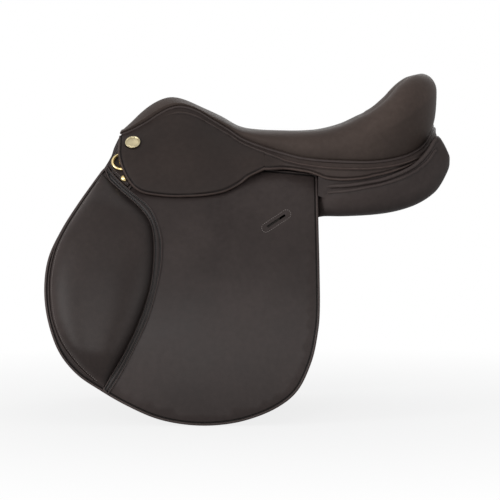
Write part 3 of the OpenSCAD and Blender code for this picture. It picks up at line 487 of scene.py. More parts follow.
seamHighTable = levelEnd([
    (front, pommel - 53.5), (-166, pommel - 48.5), (-152, pommel - 41.5), (-138, pommel - 33.5),
    (-123, pommel - 23.5), (-108, pommel - 15.5), (-93, pommel - 12), (-78, pommel - 14), (-63, pommel - 20),
    (-48, pommel - 29), (-33, pommel - 38), (-18, dip + 3), (0, dip - 9), (27, dip - 20), (57, dip - 29),
    (86, dip - 36.5), (115, dip - 40), (158, dip - 42), (roundX, dip - 42), (205, dip - 38), (220, dip - 30),
    (235, cantle - 103), (250, cantle - 85), (265, cantle - 77), (tail, cantle - 73)])
domeTable = levelEnd([(front, 1), (-100, 1), (-50, 0.7), (20, 0), (tail, 0)])
crownTable = levelEnd([
    (front, 0.1), (-105, 0.12), (-50, 0.25), (0, 0.42), (60, 0.6), (120, 0.72), (roundX, 0.78), (tail, 0.82)])
bulgeTable = levelEnd([(front, 1), (0, 2), (100, 3), (roundX, 5), (tail, 6.5)])
widestTable = levelEnd([(front, 0.3), (60, 0.35), (roundX, 0.5), (tail, 0.64)])
foamTable = [(front, 0.3), (-150, 0.4), (-105, 0.55), (-20, 0.6), (20, 0.75), (90, 1), (140, 0.95),
             (roundX, 0.8)]


def place(s, r, z):
    s, r, z = np.broadcast_arrays(*(np.asarray(v, float) for v in (s, r, z)))
    turn = np.radians(np.maximum(s - roundX, 0))
    return np.stack([np.where(s <= roundX, s, roundX + r * np.sin(turn)), -r * np.cos(turn), z], -1)


def ridgeZ(s):
    return along(ridgeTable, s)


def middleZ(s):
    return ridgeZ(min(s, roundX)) - along(dishTable, max(20, min(s, roundX)))


def seamR(s):
    return along(seamOutTable, s)


def seamH(s):
    return along(seamHighTable, s)


def foamD(s):
    return seat["foam"] * along(foamTable, np.minimum(s, roundX))


def halfSection(s, d):
    rw, zw, zr, zc = seamR(s), seamH(s), ridgeZ(s), middleZ(s)
    ro = rw + along(bulgeTable, s)
    zo = zw + along(widestTable, s) * (zr - zw)
    rr = min(along(crownTable, s) * rw, ro - d - seat["crownIn"])
    t = np.arange(seat["crownSteps"]) / seat["crownSteps"]
    a = np.radians(np.linspace(0, 90, seat["archSteps"], endpoint=False))
    b = np.radians(np.linspace(0, 90, seat["tuckSteps"] + 1))
    r = np.concatenate([rr * t, rr + (ro - d - rr) * np.sin(a), rw - d + (ro - rw) * np.cos(b)])
    over = zo + (zr - d - zo) * np.cos(a) ** (1 + along(domeTable, s))
    z = np.concatenate([mix(zc, zr, ease(t)) - d, over, zo - (zo - zw) * np.sin(b)])
    return r, z


def acrossSeat(s, d):
    r, z = halfSection(s, d)
    left = place(s, r, z)
    return np.concatenate([left[::-1], sided(left[1:], -1)])


def seatShell(name, outer, inner, start, material):
    stations = np.concatenate([np.arange(start, -60, 4.0), np.arange(-60, 150, 6.0),
                               np.arange(150, roundX, 4.0), np.linspace(roundX, tail, 36)])
    rings = [np.concatenate([acrossSeat(s, outer(s)), acrossSeat(s, inner(s))[::-1]]) for s in stations]
    count = len(rings[0])
    verts, faces = loft(rings, capStart=False, capEnd=False)
    faces += [(k, k + 1, count - 2 - k, count - 1 - k) for k in range(count // 2 - 1)]
    arch = seat["crownSteps"] + seat["archSteps"]
    tuck = -seat["tuckShade"] * np.linspace(0, 1, seat["tuckSteps"] + 1)
    tones = []
    for s in stations:  # painted shade in the tuck by the seam, painted lighter towards the cantle
        paintedLight = seat["paintedLight"] * ease((s - seat["lightFrom"]) / seat["lightRun"])
        half = np.concatenate([np.full(arch, paintedLight), tuck])
        tones.append(np.concatenate([half[::-1], half[1:], np.zeros(count // 2)]))
    return makePiece(name, verts, faces, material, tone=np.concatenate(tones))


seatPiece = seatShell("seat_leather", lambda s: 0.0, lambda s: seat["leather"], seat["leatherFront"],
                      litSeatLeather)
settle(seatPiece, "saddle", "seat_cover", fill=0.85)
foamPiece = seatShell("seat_foam_layer", lambda s: seat["leather"] + seat["foamGap"],
                      lambda s: max(foamD(s), seat["leather"] + seat["foamLeast"]), seat["foamFront"], foam)
settle(foamPiece, "saddle", "seat_foam", slot="webbing", fill=0.8)
print("seat made")

# The rolled front edge of the seat
pommelRoll = {"radius": 1.9, "drop": 0.6, "short": 1.5, "back": 0.5, "points": 41, "around": 14}
rollX, rollY = seat["leatherFront"], np.linspace(-1, 1, pommelRoll["points"])
rollZ = seamH(rollX) + (ridgeZ(rollX) - seamH(rollX)) * (1 - rollY ** 2) - pommelRoll["drop"]
rollPath = np.stack([np.full(len(rollY), rollX + pommelRoll["back"]),
                     rollY * (seamR(rollX) - pommelRoll["short"]), rollZ], 1)
settle(pipe("pommel_roll", rollPath, pommelRoll["radius"], litSeatLeather, pommelRoll["around"]), "saddle")


def roundBack(rings):  # carries a run along the left side on round the cantle and down the right side
    return list(rings) + [sided(ring, -1) for ring in rings[-2::-1]]


# Piping in the seam under the seat
seatPiping = {"radius": 2.0, "out": 0.4, "drop": 2.9}
seamS = np.concatenate([np.arange(seat["leatherFront"] + 1, -60, 3.0), np.arange(-60, roundX, 5.0),
                        np.linspace(roundX, tail, 40)])
leftWelt = place(seamS, seamR(seamS) + seatPiping["out"], seamH(seamS) - seatPiping["drop"])
settle(pipe("seat_piping", np.array(roundBack(leftWelt)), seatPiping["radius"]), "saddle", "seat_welt")

# The seam's flange, which closes the line between the seat leather and its piping
flange = {"inner": -2.3, "outer": -0.9, "bottom": -3.2, "top": 0.15}
corners = [place(seamS, seamR(seamS) + flange[r], seamH(seamS) + flange[z])
           for r, z in (("inner", "bottom"), ("outer", "bottom"), ("outer", "top"), ("inner", "top"))]
verts, faces = loft(roundBack(np.stack(corners, 1)))
settle(makePiece("seat_seam", verts, faces, litSeatLeather), "saddle")

# The layers of the flap lie round one axis, each at its depth below the flap's face
layer = {"radius": 760.0, "topOut": 88.0, "topZ": 88.0, "lean": 35.0}
axisOut = layer["topOut"] - layer["radius"] * math.cos(math.radians(layer["lean"]))
axisZ = layer["topZ"] - layer["radius"] * math.sin(math.radians(layer["lean"]))
flapT, guardT, strapT, sweatT, webT = 4.5, 2.5, 4.0, 3.5, 2.2
gap = {"web": 0.5, "guard": 0.1, "strap": 0.9, "tree": 0.3, "sweat": 1.89, "panel": 0.4}
webD = -flapT - gap["web"]
guardD = webD + gap["guard"]
strapD = guardD - guardT - gap["strap"]
treeD = webD - webT - gap["tree"]
sweatD = strapD - strapT - gap["sweat"]
panelSeatD = sweatD - sweatT - gap["panel"]


def layerOut(z, d):
    return axisOut + np.sqrt((layer["radius"] + d) ** 2 - (np.asarray(z, float) - axisZ) ** 2)


def onLayer(x, z, d):
    x, z, d = np.broadcast_arrays(*(np.asarray(v, float) for v in (x, z, d)))
    return np.stack([x, -layerOut(z, d), z], -1)


def layerNormal(z):
    lean = np.arcsin((np.asarray(z, float) - axisZ) / layer["radius"])
    return np.stack([np.zeros_like(lean), -np.cos(lean), np.sin(lean)], -1)


# Flat leather cut to an outline in the side view, with a worked edge
def ccw(loop):
    x, z = loop[:, 0], loop[:, 1]
    return loop if np.sum(x * np.roll(z, -1) - np.roll(x, -1) * z) > 0 else loop[::-1]


def insetLoop(loop, distance):
    before, after = unit(loop - np.roll(loop, 1, 0)), unit(np.roll(loop, -1, 0) - loop)
    n1 = np.stack([-before[:, 1], before[:, 0]], 1)
    n2 = np.stack([-after[:, 1], after[:, 0]], 1)
    n = unit(n1 + n2)
    return loop + n * (distance / np.maximum(np.sum(n * n1, 1, keepdims=True), 0.5))


def inside(points, loop):
    x, z = points[:, 0], points[:, 1]
    hit = np.zeros(len(points), bool)
    for (x1, z1), (x2, z2) in zip(loop, np.roll(loop, -1, 0)):
        cross = (z1 > z) != (z2 > z)
        if abs(z2 - z1) > 1e-12:
            hit ^= cross & (x < (x2 - x1) * (z - z1) / (z2 - z1) + x1)
    return hit


def fillLoop(loop, holes, step):
    def free(p):
        keep = inside(p, loop)
        for hole in holes:
            keep &= ~inside(p, hole)
        return keep

    rowShare, rimShare = 0.87, 0.55  # even triangles, and no thin ones at the rim
    low, high = loop.min(0), loop.max(0)
    gx, gz = np.meshgrid(np.arange(low[0], high[0], step), np.arange(low[1], high[1], step * rowShare))
    gx[1::2] += step / 2
    spots = np.stack([gx.ravel(), gz.ravel()], 1)
    spots = spots[free(spots)]
    rim = np.concatenate([loop] + holes)
    far = np.array([np.min(np.sum((rim - p) ** 2, 1)) > (rimShare * step) ** 2 for p in spots], bool)
    spots = spots[far] if len(spots) else spots
    points, edges = [], []
    for ring in [loop] + holes:
        first = len(points)
        points += ring.tolist()
        edges += [(first + k, first + (k + 1) % len(ring)) for k in range(len(ring))]
    points += spots.tolist()
    flat, _, tris, *_ = delaunay_2d_cdt([Vector(p) for p in points], edges, [], 0, 1e-6)
    flat = np.array([tuple(p) for p in flat])
    tris = np.array([t for t in tris if len(t) == 3])
    return flat, tris[free(flat[tris].mean(1))]


def leatherSheet(outline, outD, inD, edge=1.0, face=(), rim=0.0, holes=(), step=12.0, flatTone=0.0):
    loop = ccw(np.asarray(outline, float))
    holes = [ccw(np.asarray(h, float))[::-1] for h in holes]
    # rim and each face step's third value are painted light and shade: highlights on edges and beads, shade
    # in grooves; holeShade paints shade round the holes
    bite, holeShade, soft = 0.5, -0.3, 0.3
    upper = [(0.0, outD - edge, rim), (soft * edge, outD - soft * edge, rim), (edge, outD, rim)]
    upper += [(e, outD + rise, shade) for e, rise, shade in face]
    under = [(0.0, inD + edge, rim), (soft * edge, inD + soft * edge, rim), (upper[-1][0], inD, 0.0)]
    holeTop = [(0.0, outD - bite, holeShade), (soft * bite, outD - soft * bite, 0.0), (bite, outD, 0.0)]
    holeLow = [(0.0, inD + bite, holeShade), (soft * bite, inD + soft * bite, 0.0), (bite, inD, 0.0)]
    verts, faces, tones = [], [], []

    def addLoop(flat, d, shade=0.0):
        first = sum(len(v) for v in verts)
        verts.append(onLayer(flat[:, 0], flat[:, 1], d))
        tones.append(np.full(len(flat), shade))
        return first

    def bridge(a, b, n):
        faces.extend((a + k, a + (k + 1) % n, b + (k + 1) % n, b + k) for k in range(n))

    def border(ring, above, below):
        ends = []
        for steps in (above, below):
            kept = [addLoop(insetLoop(ring, e) if e else ring, d, shade) for e, d, shade in steps]
            for a, b in zip(kept, kept[1:]):
                bridge(a, b, len(ring))
            ends.append(kept[0])
        bridge(ends[0], ends[1], len(ring))

    border(loop, upper, under)
    for hole in holes:
        border(hole, holeTop, holeLow)
    flat, tris = fillLoop(insetLoop(loop, upper[-1][0]), [insetLoop(hole, bite) for hole in holes], step)
    top, low = addLoop(flat, upper[-1][1], flatTone), addLoop(flat, inD)
    faces.extend((top + a, top + b, top + c) for a, b, c in tris)
    faces.extend((low + a, low + c, low + b) for a, b, c in tris)
    return np.concatenate(verts), [tuple(int(i) for i in f) for f in faces], np.concatenate(tones)


def roundCorners(points, rounds=3):
    p = np.asarray(points, float)
    for _ in range(rounds):
        q = np.roll(p, -1, 0)
        p = np.stack([0.75 * p + 0.25 * q, 0.25 * p + 0.75 * q], 1).reshape(-1, 2)
    return p


def sheetPiece(name, outline, outD, inD, side, material, **edgeWork):
    verts, faces, tones = leatherSheet(outline, outD, inD, **edgeWork)
    return makePiece(name, sided(verts, side), faces, material, merge=0.02, tone=tones)


def sewFlat(body, path, d, side, dark=False):
    row = evenly(path, stitchLook["pathStep"])
    sew(body, sided(onLayer(row[:, 0], row[:, 1], d), side), sided(layerNormal(row[:, 1]), side), dark)


def sewOutline(body, outline, inset, d, side):
    loop = insetLoop(ccw(np.asarray(outline, float)), inset)
    sewFlat(body, np.concatenate([loop, loop[:1]]), d, side)


def besidePath(points, distance):  # to the left of the way along the path
    g = unit(np.gradient(np.asarray(points, float), axis=0))
    return points + distance * np.stack([-g[:, 1], g[:, 0]], 1)


# Flaps
# rim and the bead's third values paint a highlight on the edge and shade in the groove inside it
flap = {"slotMid": (50.0, -2.5), "slotTilt": 33.0, "slotLen": 31.0, "slotWide": 3.0, "sewnLen": 48.0,
        "sewnWide": 12.5, "edge": 1.4, "rim": 0.8, "bead": (
            (2.0, 0.6, 0.9), (2.8, 0.55, 0.8), (3.4, -0.2, -0.4), (3.9, -1.3, -0.85), (4.7, -1.4, -0.85),
            (5.3, -0.5, -0.4), (6.3, 0.0, 0.0))}
flapEdge = [
    (111, 62), (111, 5), (112, -71), (112, -127), (109, -160), (100, -200), (80, -241), (49, -266),
    (6, -283), (-37, -290), (-80, -289), (-123, -280), (-166, -261), (-201, -241), (-235, -218),
    (-261, -186), (-277, -143), (-283, -99), (-278.5, -56), (-262, -18), (-239, 20), (-205, 69)]
tapeOuter = [
    (-197, 77), (-189, 66.5), (-174, 51.8), (-159, 39.5), (-136, 21.5), (-124, 3), (-116, -22), (-114, -45),
    (-117, -78), (-130, -131), (-146, -169), (-168, -212), (-186, -241)]
flapOutline = np.concatenate([
    evenly(pathThrough(flapEdge, 10), 4.0), evenly(pathThrough(tapeOuter[:3] + [(-166, 45.2)], 6), 4.0),
    evenly([(-161, 50.4), (-150, 50.4), (-146, 46), (-22, 46)], 6.0), evenly([(-22, 50), (-22, 78)], 6.0),
    evenly([(-18, 78.2), (50, 71.6), (107, 66)], 6.0)])


def stadium(length, wide, steps):
    half, tilt = (length - wide) / 2, math.radians(flap["slotTilt"])
    a = np.linspace(-math.pi / 2, math.pi / 2, steps)
    right = np.stack([half + wide / 2 * np.cos(a), wide / 2 * np.sin(a)], 1)
    turn = np.array([[math.cos(tilt), math.sin(tilt)], [-math.sin(tilt), math.cos(tilt)]])
    return np.concatenate([right, -right]) @ turn + np.asarray(flap["slotMid"])


slotLoop = stadium(flap["slotLen"], flap["slotWide"], 10)
slotRow = stadium(flap["sewnLen"], flap["sewnWide"], 16)
for name, side in sides.items():
    piece = sheetPiece(f"flap_leather_{name}", flapOutline, 0.0, -flapT, side, flapLeather, edge=flap["edge"],
                       face=flap["bead"], rim=flap["rim"], holes=[slotLoop])
    settle(piece, f"flap_{name}", f"flap_{name}")
    sewFlat(f"flap_{name}", np.concatenate([slotRow, slotRow[:1]]), 0.1, side)
print("flaps made")

# Knee pads: a painted highlight along the front edge, painted shade along the rear edge under its tape
pad = {"puff": 20.0, "leastPuff": 2, "flat": 2.6, "round": 0.62, "base": 0.4, "least": 1.2, "steps": 44,
       "fullWide": 90.0, "narrow": 0.5, "endPower": 1.6, "paintedLight": (0.45, 0, 9), "shade": (0.45, 0, 8)}
padFront = [
    (-236, -196), (-222, -214), (-205, -232), (-180, -252), (-160, -262.5), (-135, -270.5), (-99, -274.5),
    (-70, -273), (-40, -266), (-10, -252), (20, -233.5), (42, -219), (64, -204)]
padRear = [
    (-236, -196), (-222, -188), (-183, -165.5), (-141, -146), (-99, -132.5), (-65, -128), (-39, -127.5),
    (-15, -130), (2, -137), (20, -153), (42, -179), (64, -203)]


def padWide(z):
    return np.maximum(along(padRear, z) - along(padFront, z), pad["narrow"])


def padPoint(z, t, lift):
    full = pad["puff"] * ease(padWide(z) / pad["fullWide"]) + pad["leastPuff"]
    rise = np.maximum(0, 1 - np.abs(2 * t - 1) ** pad["flat"]) ** pad["round"]
    return onLayer(along(padFront, z) + padWide(z) * t, z, pad["base"] + lift * (pad["least"] + full * rise))


padLevels = np.concatenate([  # closer towards both tips
    -235.8 + 14 * np.linspace(0, 1, 10)[:-1] ** pad["endPower"], np.linspace(-221.8, 46, 60),
    46 + 17.7 * (1 - np.linspace(1, 0, 12)[1:] ** pad["endPower"])])
padShares = 0.5 - 0.5 * np.cos(np.linspace(0, math.pi, pad["steps"] + 1))
for name, side in sides.items():
    rings, tones = [], []
    for z in padLevels:
        over, below = (padPoint(np.full(len(padShares), z), padShares, lift) for lift in (1, 0))
        rings.append(sided(np.concatenate([over, below[::-1]]), side))
        # painted highlight along the pad's front edge, painted shade along its rear edge
        shade = hump(padWide(z) * padShares, *pad["paintedLight"]) - hump(padWide(z) * (1 - padShares), *pad["shade"])
        tones.append(np.concatenate([shade, np.zeros(len(padShares))]))
    verts, faces = loft(rings)
    piece = makePiece(f"knee_pad_cushion_{name}", verts, faces, shadedPadLeather, merge=0,
                      tone=np.concatenate(tones))
    settle(piece, f"flap_{name}", f"knee_pad_{name}", fill=0.8)

# Thin piping round the pad's front, and the row of stitches that holds it
padTrim = {"radius": 1.2, "ahead": 2.0, "d": 0.7, "stitchIn": 3.0, "around": 10, "stepZ": 0.5, "stepT": 0.004}
trimZ = np.arange(-226, 56, 3.0)
trimX = along(padFront, trimZ)
stitchT = padTrim["stitchIn"] / np.maximum(along(padRear, trimZ) - trimX, 1)
for name, side in sides.items():
    path = sided(onLayer(trimX - padTrim["ahead"], trimZ, padTrim["d"]), side)
    piece = pipe(f"knee_piping_{name}", path, padTrim["radius"], around=padTrim["around"])
    settle(piece, f"flap_{name}")
    up, across = (padPoint(trimZ + dz, stitchT + dt, 1) - padPoint(trimZ - dz, stitchT - dt, 1)
                  for dz, dt in ((padTrim["stepZ"], 0), (0, padTrim["stepT"])))
    sew(f"flap_{name}", sided(padPoint(trimZ, stitchT, 1), side), sided(unit(np.cross(across, up)), side))

# The tape over the seam behind the pad, sewn along both edges
tape = {"out": 2.15, "in": 0.15, "sewnD": 1.7, "sewnFront": 3.4, "sewnRear": -3.0}
# rim and the face steps' third values paint highlights on the edges and shade in the grooves beside the
# stitch rows
tapeEdge = {"edge": 0.9, "rim": 0.7, "flatTone": -0.25, "step": 8.0, "face": (
    (1.2, 0.3, 0.8), (1.6, 0.1, 0.2), (2.0, -0.6, -0.9), (3.8, -0.6, -0.9), (4.3, 0.1, -0.25))}
tapeRear = np.array([(-197.5, -239)] + [(along(padRear, z) + 0.6, z) for z in np.arange(-232, 57, 6.0)])
tapeRun = evenly(pathThrough(tapeOuter + [(-190.5, -246.5)], 8), 3.0)
tapeOutline = np.concatenate([tapeRun, tapeRear, [(-199.5, 69)]])
for name, side in sides.items():
    piece = sheetPiece(f"knee_tape_leather_{name}", tapeOutline, tape["out"], tape["in"], side, flapLeather,
                       **tapeEdge)
    settle(piece, f"flap_{name}", f"knee_tape_{name}")
    for row in (besidePath(tapeRun, tape["sewnRear"]), tapeRear + np.array([tape["sewnFront"], 0])):
        sewFlat(f"flap_{name}", row[2:-2], tape["sewnD"], side, dark=True)
print("knee pads made")

# Skirts: one leather from the seam to the edge, parted at the fold line
skirt = {"thick": 3.6, "foldLift": 13.5, "bow": 2.5, "out": 8.0, "lapRear": 33.0, "edgeRound": 1.8,
         "rootRows": 64, "lapRows": 34, "rounds": 110, "foldRun": 12.0, "seamOut": 1.2, "seamDrop": 6.0,
         "rearLift": 3, "rearRun": 70, "sunk": 0.4, "lapFoot": (6.0, 2.0), "lapFootRun": 0.42,
         "lapPower": 1.6, "lapFall": 36}
skirtTucks = ((3, roundX, 60), (3, 245, 25))  # drawn in towards the tail: how far, from where, over what run
foldA, foldB = (-190.0, 98.0), (120.0, 66.0)
skirtEdge = levelEnd([
    (33, 70.5), (41, 70.5), (63, 71), (85, 68.5), (99, 66), (111, 62), (121, 58), (135, 56), (150, 55.5),
    (170, 57), (roundX, 61), (205, 69.5), (220, 80.5), (235, 94.5), (250, 110), (265, 121), (tail, 128)])
lapEdge = [
    (-181.5, 97), (-179, 85.5), (-173.7, 70), (-165.5, 54.5), (-155.5, 43.3), (-143, 36.6), (-122, 33),
    (-98, 31.3), (-70, 31.8), (-46, 34), (-24, 38.8), (-4, 48.8), (12, 60.6), (33, 70.5)]


def foldShare(x):
    return (np.asarray(x, float) - foldA[0]) / (foldB[0] - foldA[0])


def foldZ(x):
    return mix(foldA[1], foldB[1], foldShare(x))


def foldOut(x):
    lift = skirt["foldLift"]
    return mix(layerOut(foldA[1], lift), layerOut(foldB[1], lift), foldShare(x))


def skirtFoot(s):
    z = along(skirtEdge, s)
    d = mix(skirt["foldLift"], skirt["rearLift"], ease((s - skirt["lapRear"]) / skirt["rearRun"]))
    out = skirt["out"]
    for amount, start, run in skirtTucks:
        out = out - amount * ease((s - start) / run)
    behind = np.maximum(seamR(s) + out, layerOut(z, d) - skirt["sunk"])
    atFold = s < skirt["lapRear"]
    return np.where(atFold, foldOut(s), behind), np.where(atFold, foldZ(s), z)


def rootColumn(s, t):
    ar, az = seamR(s) + skirt["seamOut"], seamH(s) - skirt["seamDrop"]
    br, bz = skirtFoot(s)
    gr, gz = br - ar, bz - az
    n = math.hypot(gr, gz)
    bow = skirt["bow"] * np.sin(math.pi * t)
    return place(s, ar + gr * t - gz / n * bow, az + gz * t + gr / n * bow)


def lapColumn(q, t):
    x = mix(front, skirt["lapRear"], q)
    e = pathAt(lapEdge, q)[0]
    foot = mix(*skirt["lapFoot"], ease(q / skirt["lapFootRun"])) + skirt["thick"] / 2
    px, pz = mix(x, e[0], t), mix(foldZ(x), e[1], t)
    d = mix(skirt["foldLift"], foot, t ** skirt["lapPower"] * ease((foldZ(x) - e[1]) / skirt["lapFall"]))
    return onLayer(px, pz, d)


# Stations crowd towards both ends of the lap, where its corners are round
lapRun = np.concatenate([[0, 0.4, 0.9, 1.6, 2.4, 3.3, 4.3, 5.4, 6.8, 8.6, 11], np.linspace(14, 206, 66),
                         [208.5, 210.5, 212, 213, 214]])
lapShares = lapRun / lapRun[-1]
rootS = mix(front, skirt["lapRear"], lapShares)
stations = np.concatenate([rootS, [skirt["lapRear"] + 0.01], np.arange(35, roundX, 3.0),
                           np.linspace(roundX, tail, 44)])
tRoot = 0.5 - 0.5 * np.cos(np.linspace(0, math.pi, skirt["rootRows"]))
tLap = 1 - (1 - np.linspace(0, 1, skirt["lapRows"])) ** 2.1
upper = np.array([rootColumn(s, tRoot) for s in stations])
lower = np.array([lapColumn(q, tLap) for q in lapShares])
count, foldRow = len(rootS), skirt["rootRows"] - 1
whole = np.concatenate([upper[:count, :-1], lower], 1)
nearFold = hump(np.arange(1, whole.shape[1] - 1), 1.0, foldRow, skirt["foldRun"])[None, :, None]
for _ in range(skirt["rounds"]):  # the fold runs smoothly from the skirt into its lap
    middle = (whole[:, :-2] + 2 * whole[:, 1:-1] + whole[:, 2:]) / 4
    whole[:, 1:-1] = mix(whole[:, 1:-1], middle, nearFold)
upper[:count] = whole[:, :foldRow + 1]
lower = whole[:, foldRow:]
freeEdge = np.concatenate([upper[0], lower[0], lower[:, -1], upper[count:, -1]])

# Badge studs: a milled rim round a plain, slightly domed face
stud = {"s": -159.4, "share": 0.63, "tilt": 8.0, "lift": 3.4, "size": 0.89, "steps": 168, "mill": 42,
        "cut": 0.014, "rimFrom": 11.0, "reach": 8, "reachDown": 0.15}
studProfile = [
    (11.6, -3.2), (12.2, -1.6), (12.55, -0.6), (12.6, 0.3), (12.3, 1.0), (11.8, 1.35), (11.2, 1.3),
    (10.7, 0.7), (10.35, 0.05), (9.9, 0.0), (9.5, 0.35), (8.6, 0.62), (6.4, 1.0), (4.2, 1.25), (2.0, 1.38),
    (0.5, 1.4)]
studAbove, studAt, studBelow = rootColumn(stud["s"], stud["share"] + stud["reachDown"] * np.array([-1, 0, 1]))
studDown = unit(studBelow - studAbove)
studAhead, studBehind = (rootColumn(stud["s"] + stud["reach"] * way, np.array([stud["share"]]))[0]
                         for way in (-1, 1))
studAft = unit(studBehind - studAhead)
studOut = unit(np.cross(studAft, studDown))
studOut = studOut if studOut[1] < 0 else -studOut
studTilt = math.radians(stud["tilt"])
studFace = unit(studOut * math.cos(studTilt) + studDown * math.sin(studTilt))
studUp = unit(np.cross(studFace, studAft))
verts, faces = turned(studProfile, stud["steps"])
turnedAt = np.arctan2(verts[:, 1], verts[:, 0])
onRim = np.hypot(verts[:, 0], verts[:, 1]) > stud["rimFrom"]
verts = verts * (1 + stud["cut"] * np.cos(stud["mill"] * turnedAt) * onRim)[:, None] * stud["size"]
verts = verts @ np.stack([unit(np.cross(studUp, studFace)), studUp, studFace])
verts = verts + studAt + studOut * stud["lift"]
faces = faces + [tuple(i + len(verts) for i in f) for f in faces]
piece = makePiece("badge_studs", np.concatenate([verts, sided(verts, -1)]), faces, badgeBrass, merge=0)
settle(sharpen(piece, 60), "saddle", "skirt_studs", slot="brass")

# How the skirt's leather is worked and where light and shade are painted on it, each as amount, where and how
# wide
skirtWork = {"bead": (0.6, 2.0, 1.1), "groove": (1.3, 4.4, 0.9), "paintedLight": (1.3, 1.2, 1.5, 4),
             "shade": (0.8, 4.4, 0.9), "studDip": (0.7, 12.5, 2.2), "studShade": (0.6, 13, 1.8),
             "lines": ((1.0, 8.0, 1.0), (1.0, 5.6, 1.0), (1.0, 10.2, 0.9))}
lineWork = {"from": -118.0, "run": 30.0, "rise": (1.3, 0.3, 0.9), "tone": (1.2, 0.2, 0.6)}
rearLightWork = {"paintedLight": 0.4, "from": 30.0, "run": 70.0}


def surfaceNormals(grid):
    return unit(np.cross(np.gradient(grid, axis=0), np.gradient(grid, axis=1)))


def worked(grid, normals, top=None):
    e = np.array([np.sqrt(np.min(np.sum((freeEdge - p) ** 2, 1))) for p in grid.reshape(-1, 3)])
    e = e.reshape(grid.shape[:2])
    half = skirt["thick"] / 2 * np.sqrt(np.clip(1 - (1 - np.minimum(e / skirt["edgeRound"], 1)) ** 2, 0, 1))
    rise = ease(e) * (hump(e, *skirtWork["bead"]) - hump(e, *skirtWork["groove"]))
    # painted highlight along the edge, painted shade in the groove inside it
    tone = hump(e, *skirtWork["paintedLight"]) - hump(e, *skirtWork["shade"])
    if top is not None:  # the raised line under the seat's piping, with a painted highlight on it and painted shade beside it
        run, amount = top
        line, before, after = (hump(run, *at) for at in skirtWork["lines"])
        (a, b, c), (i, j, k) = lineWork["rise"], lineWork["tone"]
        rise = rise + amount * (a * line - b * before - c * after)
        tone = tone + amount * (i * line - j * before - k * after)
    byStud = np.linalg.norm(grid - studAt, axis=-1) / stud["size"]  # the leather dips round the stud, with painted shadow round it
    rise = rise - hump(byStud, *skirtWork["studDip"])
    tone = tone - hump(byStud, *skirtWork["studShade"])
    return grid + normals * (half + rise)[..., None], grid - normals * half[..., None], tone


wholeNormals, upperNormals = surfaceNormals(whole), surfaceNormals(upper)
upperNormals[:count] = wholeNormals[:, :foldRow + 1]
lowerNormals = wholeNormals[:, foldRow:]
flip = -1 if upperNormals[10, 10, 1] > 0 else 1  # outward is -Y on the left side
runDown = np.cumsum(np.linalg.norm(np.diff(upper, axis=1), axis=2), axis=1)
runDown = np.concatenate([np.zeros((len(upper), 1)), runDown], 1)
lineAmount = ease((stations - lineWork["from"]) / lineWork["run"])[:, None] * np.ones_like(runDown)
upperWorked = worked(upper, upperNormals * flip, (runDown, lineAmount))
rearLightShare = ease((stations - rearLightWork["from"]) / rearLightWork["run"])  # painted lighter towards the tail, standing in for the light there
upperWorked[2][:] += rearLightWork["paintedLight"] * rearLightShare[:, None]
lowerWorked = worked(lower, lowerNormals * flip)


def shellOf(outGrid, inGrid, tone):
    rows, cols = outGrid.shape[:2]
    verts = np.concatenate([outGrid.reshape(-1, 3), inGrid.reshape(-1, 3)])
    tones = np.concatenate([tone.ravel(), np.zeros(rows * cols)])
    n = rows * cols
    faces = gridFaces(rows, cols) + [f[::-1] for f in gridFaces(rows, cols, n)]
    spots = np.arange(n).reshape(rows, cols)
    border = np.concatenate([spots[0], spots[1:, -1], spots[-1, -2::-1], spots[-2:0:-1, 0]])
    again = np.concatenate([border, border + n])
    first, m = 2 * n, len(border)
    faces += [(first + k, first + (k + 1) % m, first + m + (k + 1) % m, first + m + k) for k in range(m)]
    return np.concatenate([verts, verts[again]]), faces, np.concatenate([tones, tones[again]])


for name, side in sides.items():
    for label, body, grids in (("skirt", "saddle", upperWorked),
                               ("skirt_lap", f"skirt_lap_{name}", lowerWorked)):
        verts, faces, tones = shellOf(*grids)
        piece = makePiece(f"{label}_leather_{name}", sided(verts, side), faces, shadedSkirtLeather, merge=0.005,
                          tone=tones)
        settle(sharpen(piece, 50), body, f"{label}_{name}")
print("skirts made")

# Panels
panel = {"square": 0.55, "setIn": 8.0, "points": 88, "wallX": 100, "freeX": 112.0, "tipX": 305.5, "tip": 26.5,
         "noseX": -191.0, "nose": 16.0, "endPower": 2.5, "swellTo": 70, "swellRun": 42,
         "soilAndShade": (0.2, 0.5, 0.45)}
panelInLow = [(-188, 84), (-150, 86), (-80, 76), (-20, 60), (60, 40), (110, 30), (150, 24), (200, 26),
              (245, 36), (275, 52), (290, 64), (303, 74)]
panelInOut = [(-188, 38), (-150, 34), (-20, 33), (150, 32), (245, 36), (275, 40), (290, 46), (303, 56)]
panelTopIn = [(-188, 104), (-150, 107), (-80, 103), (-20, 92), (60, 74), (110, 66), (150, 62), (200, 62),
              (245, 76), (262, 90), (275, 104), (282, 116), (288, 121), (294, 116), (303, 104)]
panelLowZ = [(-188, 6), (-150, -10), (-80, -14), (-20, -14), (60, -10), (110, -4), (150, -3), (200, 0),
             (232, 5.5), (262, 16), (286, 32), (303, 52)]
panelTopZ = [(-188, 24), (-150, 2), (-80, -2), (-20, 0), (60, 6), (100, 12), (112, 28), (119, 44),
             (128, 48.5), (150, 50.3), (165, 52.3), (180, 55.3), (199, 59), (222, 66.8), (245, 77.5),
             (262, 91), (274, 106), (280, 117), (285, 121), (290, 119.5), (296, 113), (303, 104)]
panelTopSpare = [(112, 0), (130, 22), (150, 31), (200, 30), (245, 14), (275, -4), (290, -12), (303, -16)]
panelLowSpare = [(112, 0), (150, 6), (200, 3), (245, -9), (275, -23), (290, -35), (303, -45)]


def panelWall(x, zTable, spare):
    z = along(zTable, min(x, panel["wallX"]))
    return layerOut(z, panelSeatD) + (along(spare, x) if x > panel["freeX"] else 0)


def panelEnd(x):
    u = max(np.clip((panel["noseX"] + panel["nose"] - x) / panel["nose"], 0, 1),
            np.clip((x - panel["tipX"] + panel["tip"]) / panel["tip"], 0, 1))
    return (1 - u ** panel["endPower"]) ** (1 / panel["endPower"])


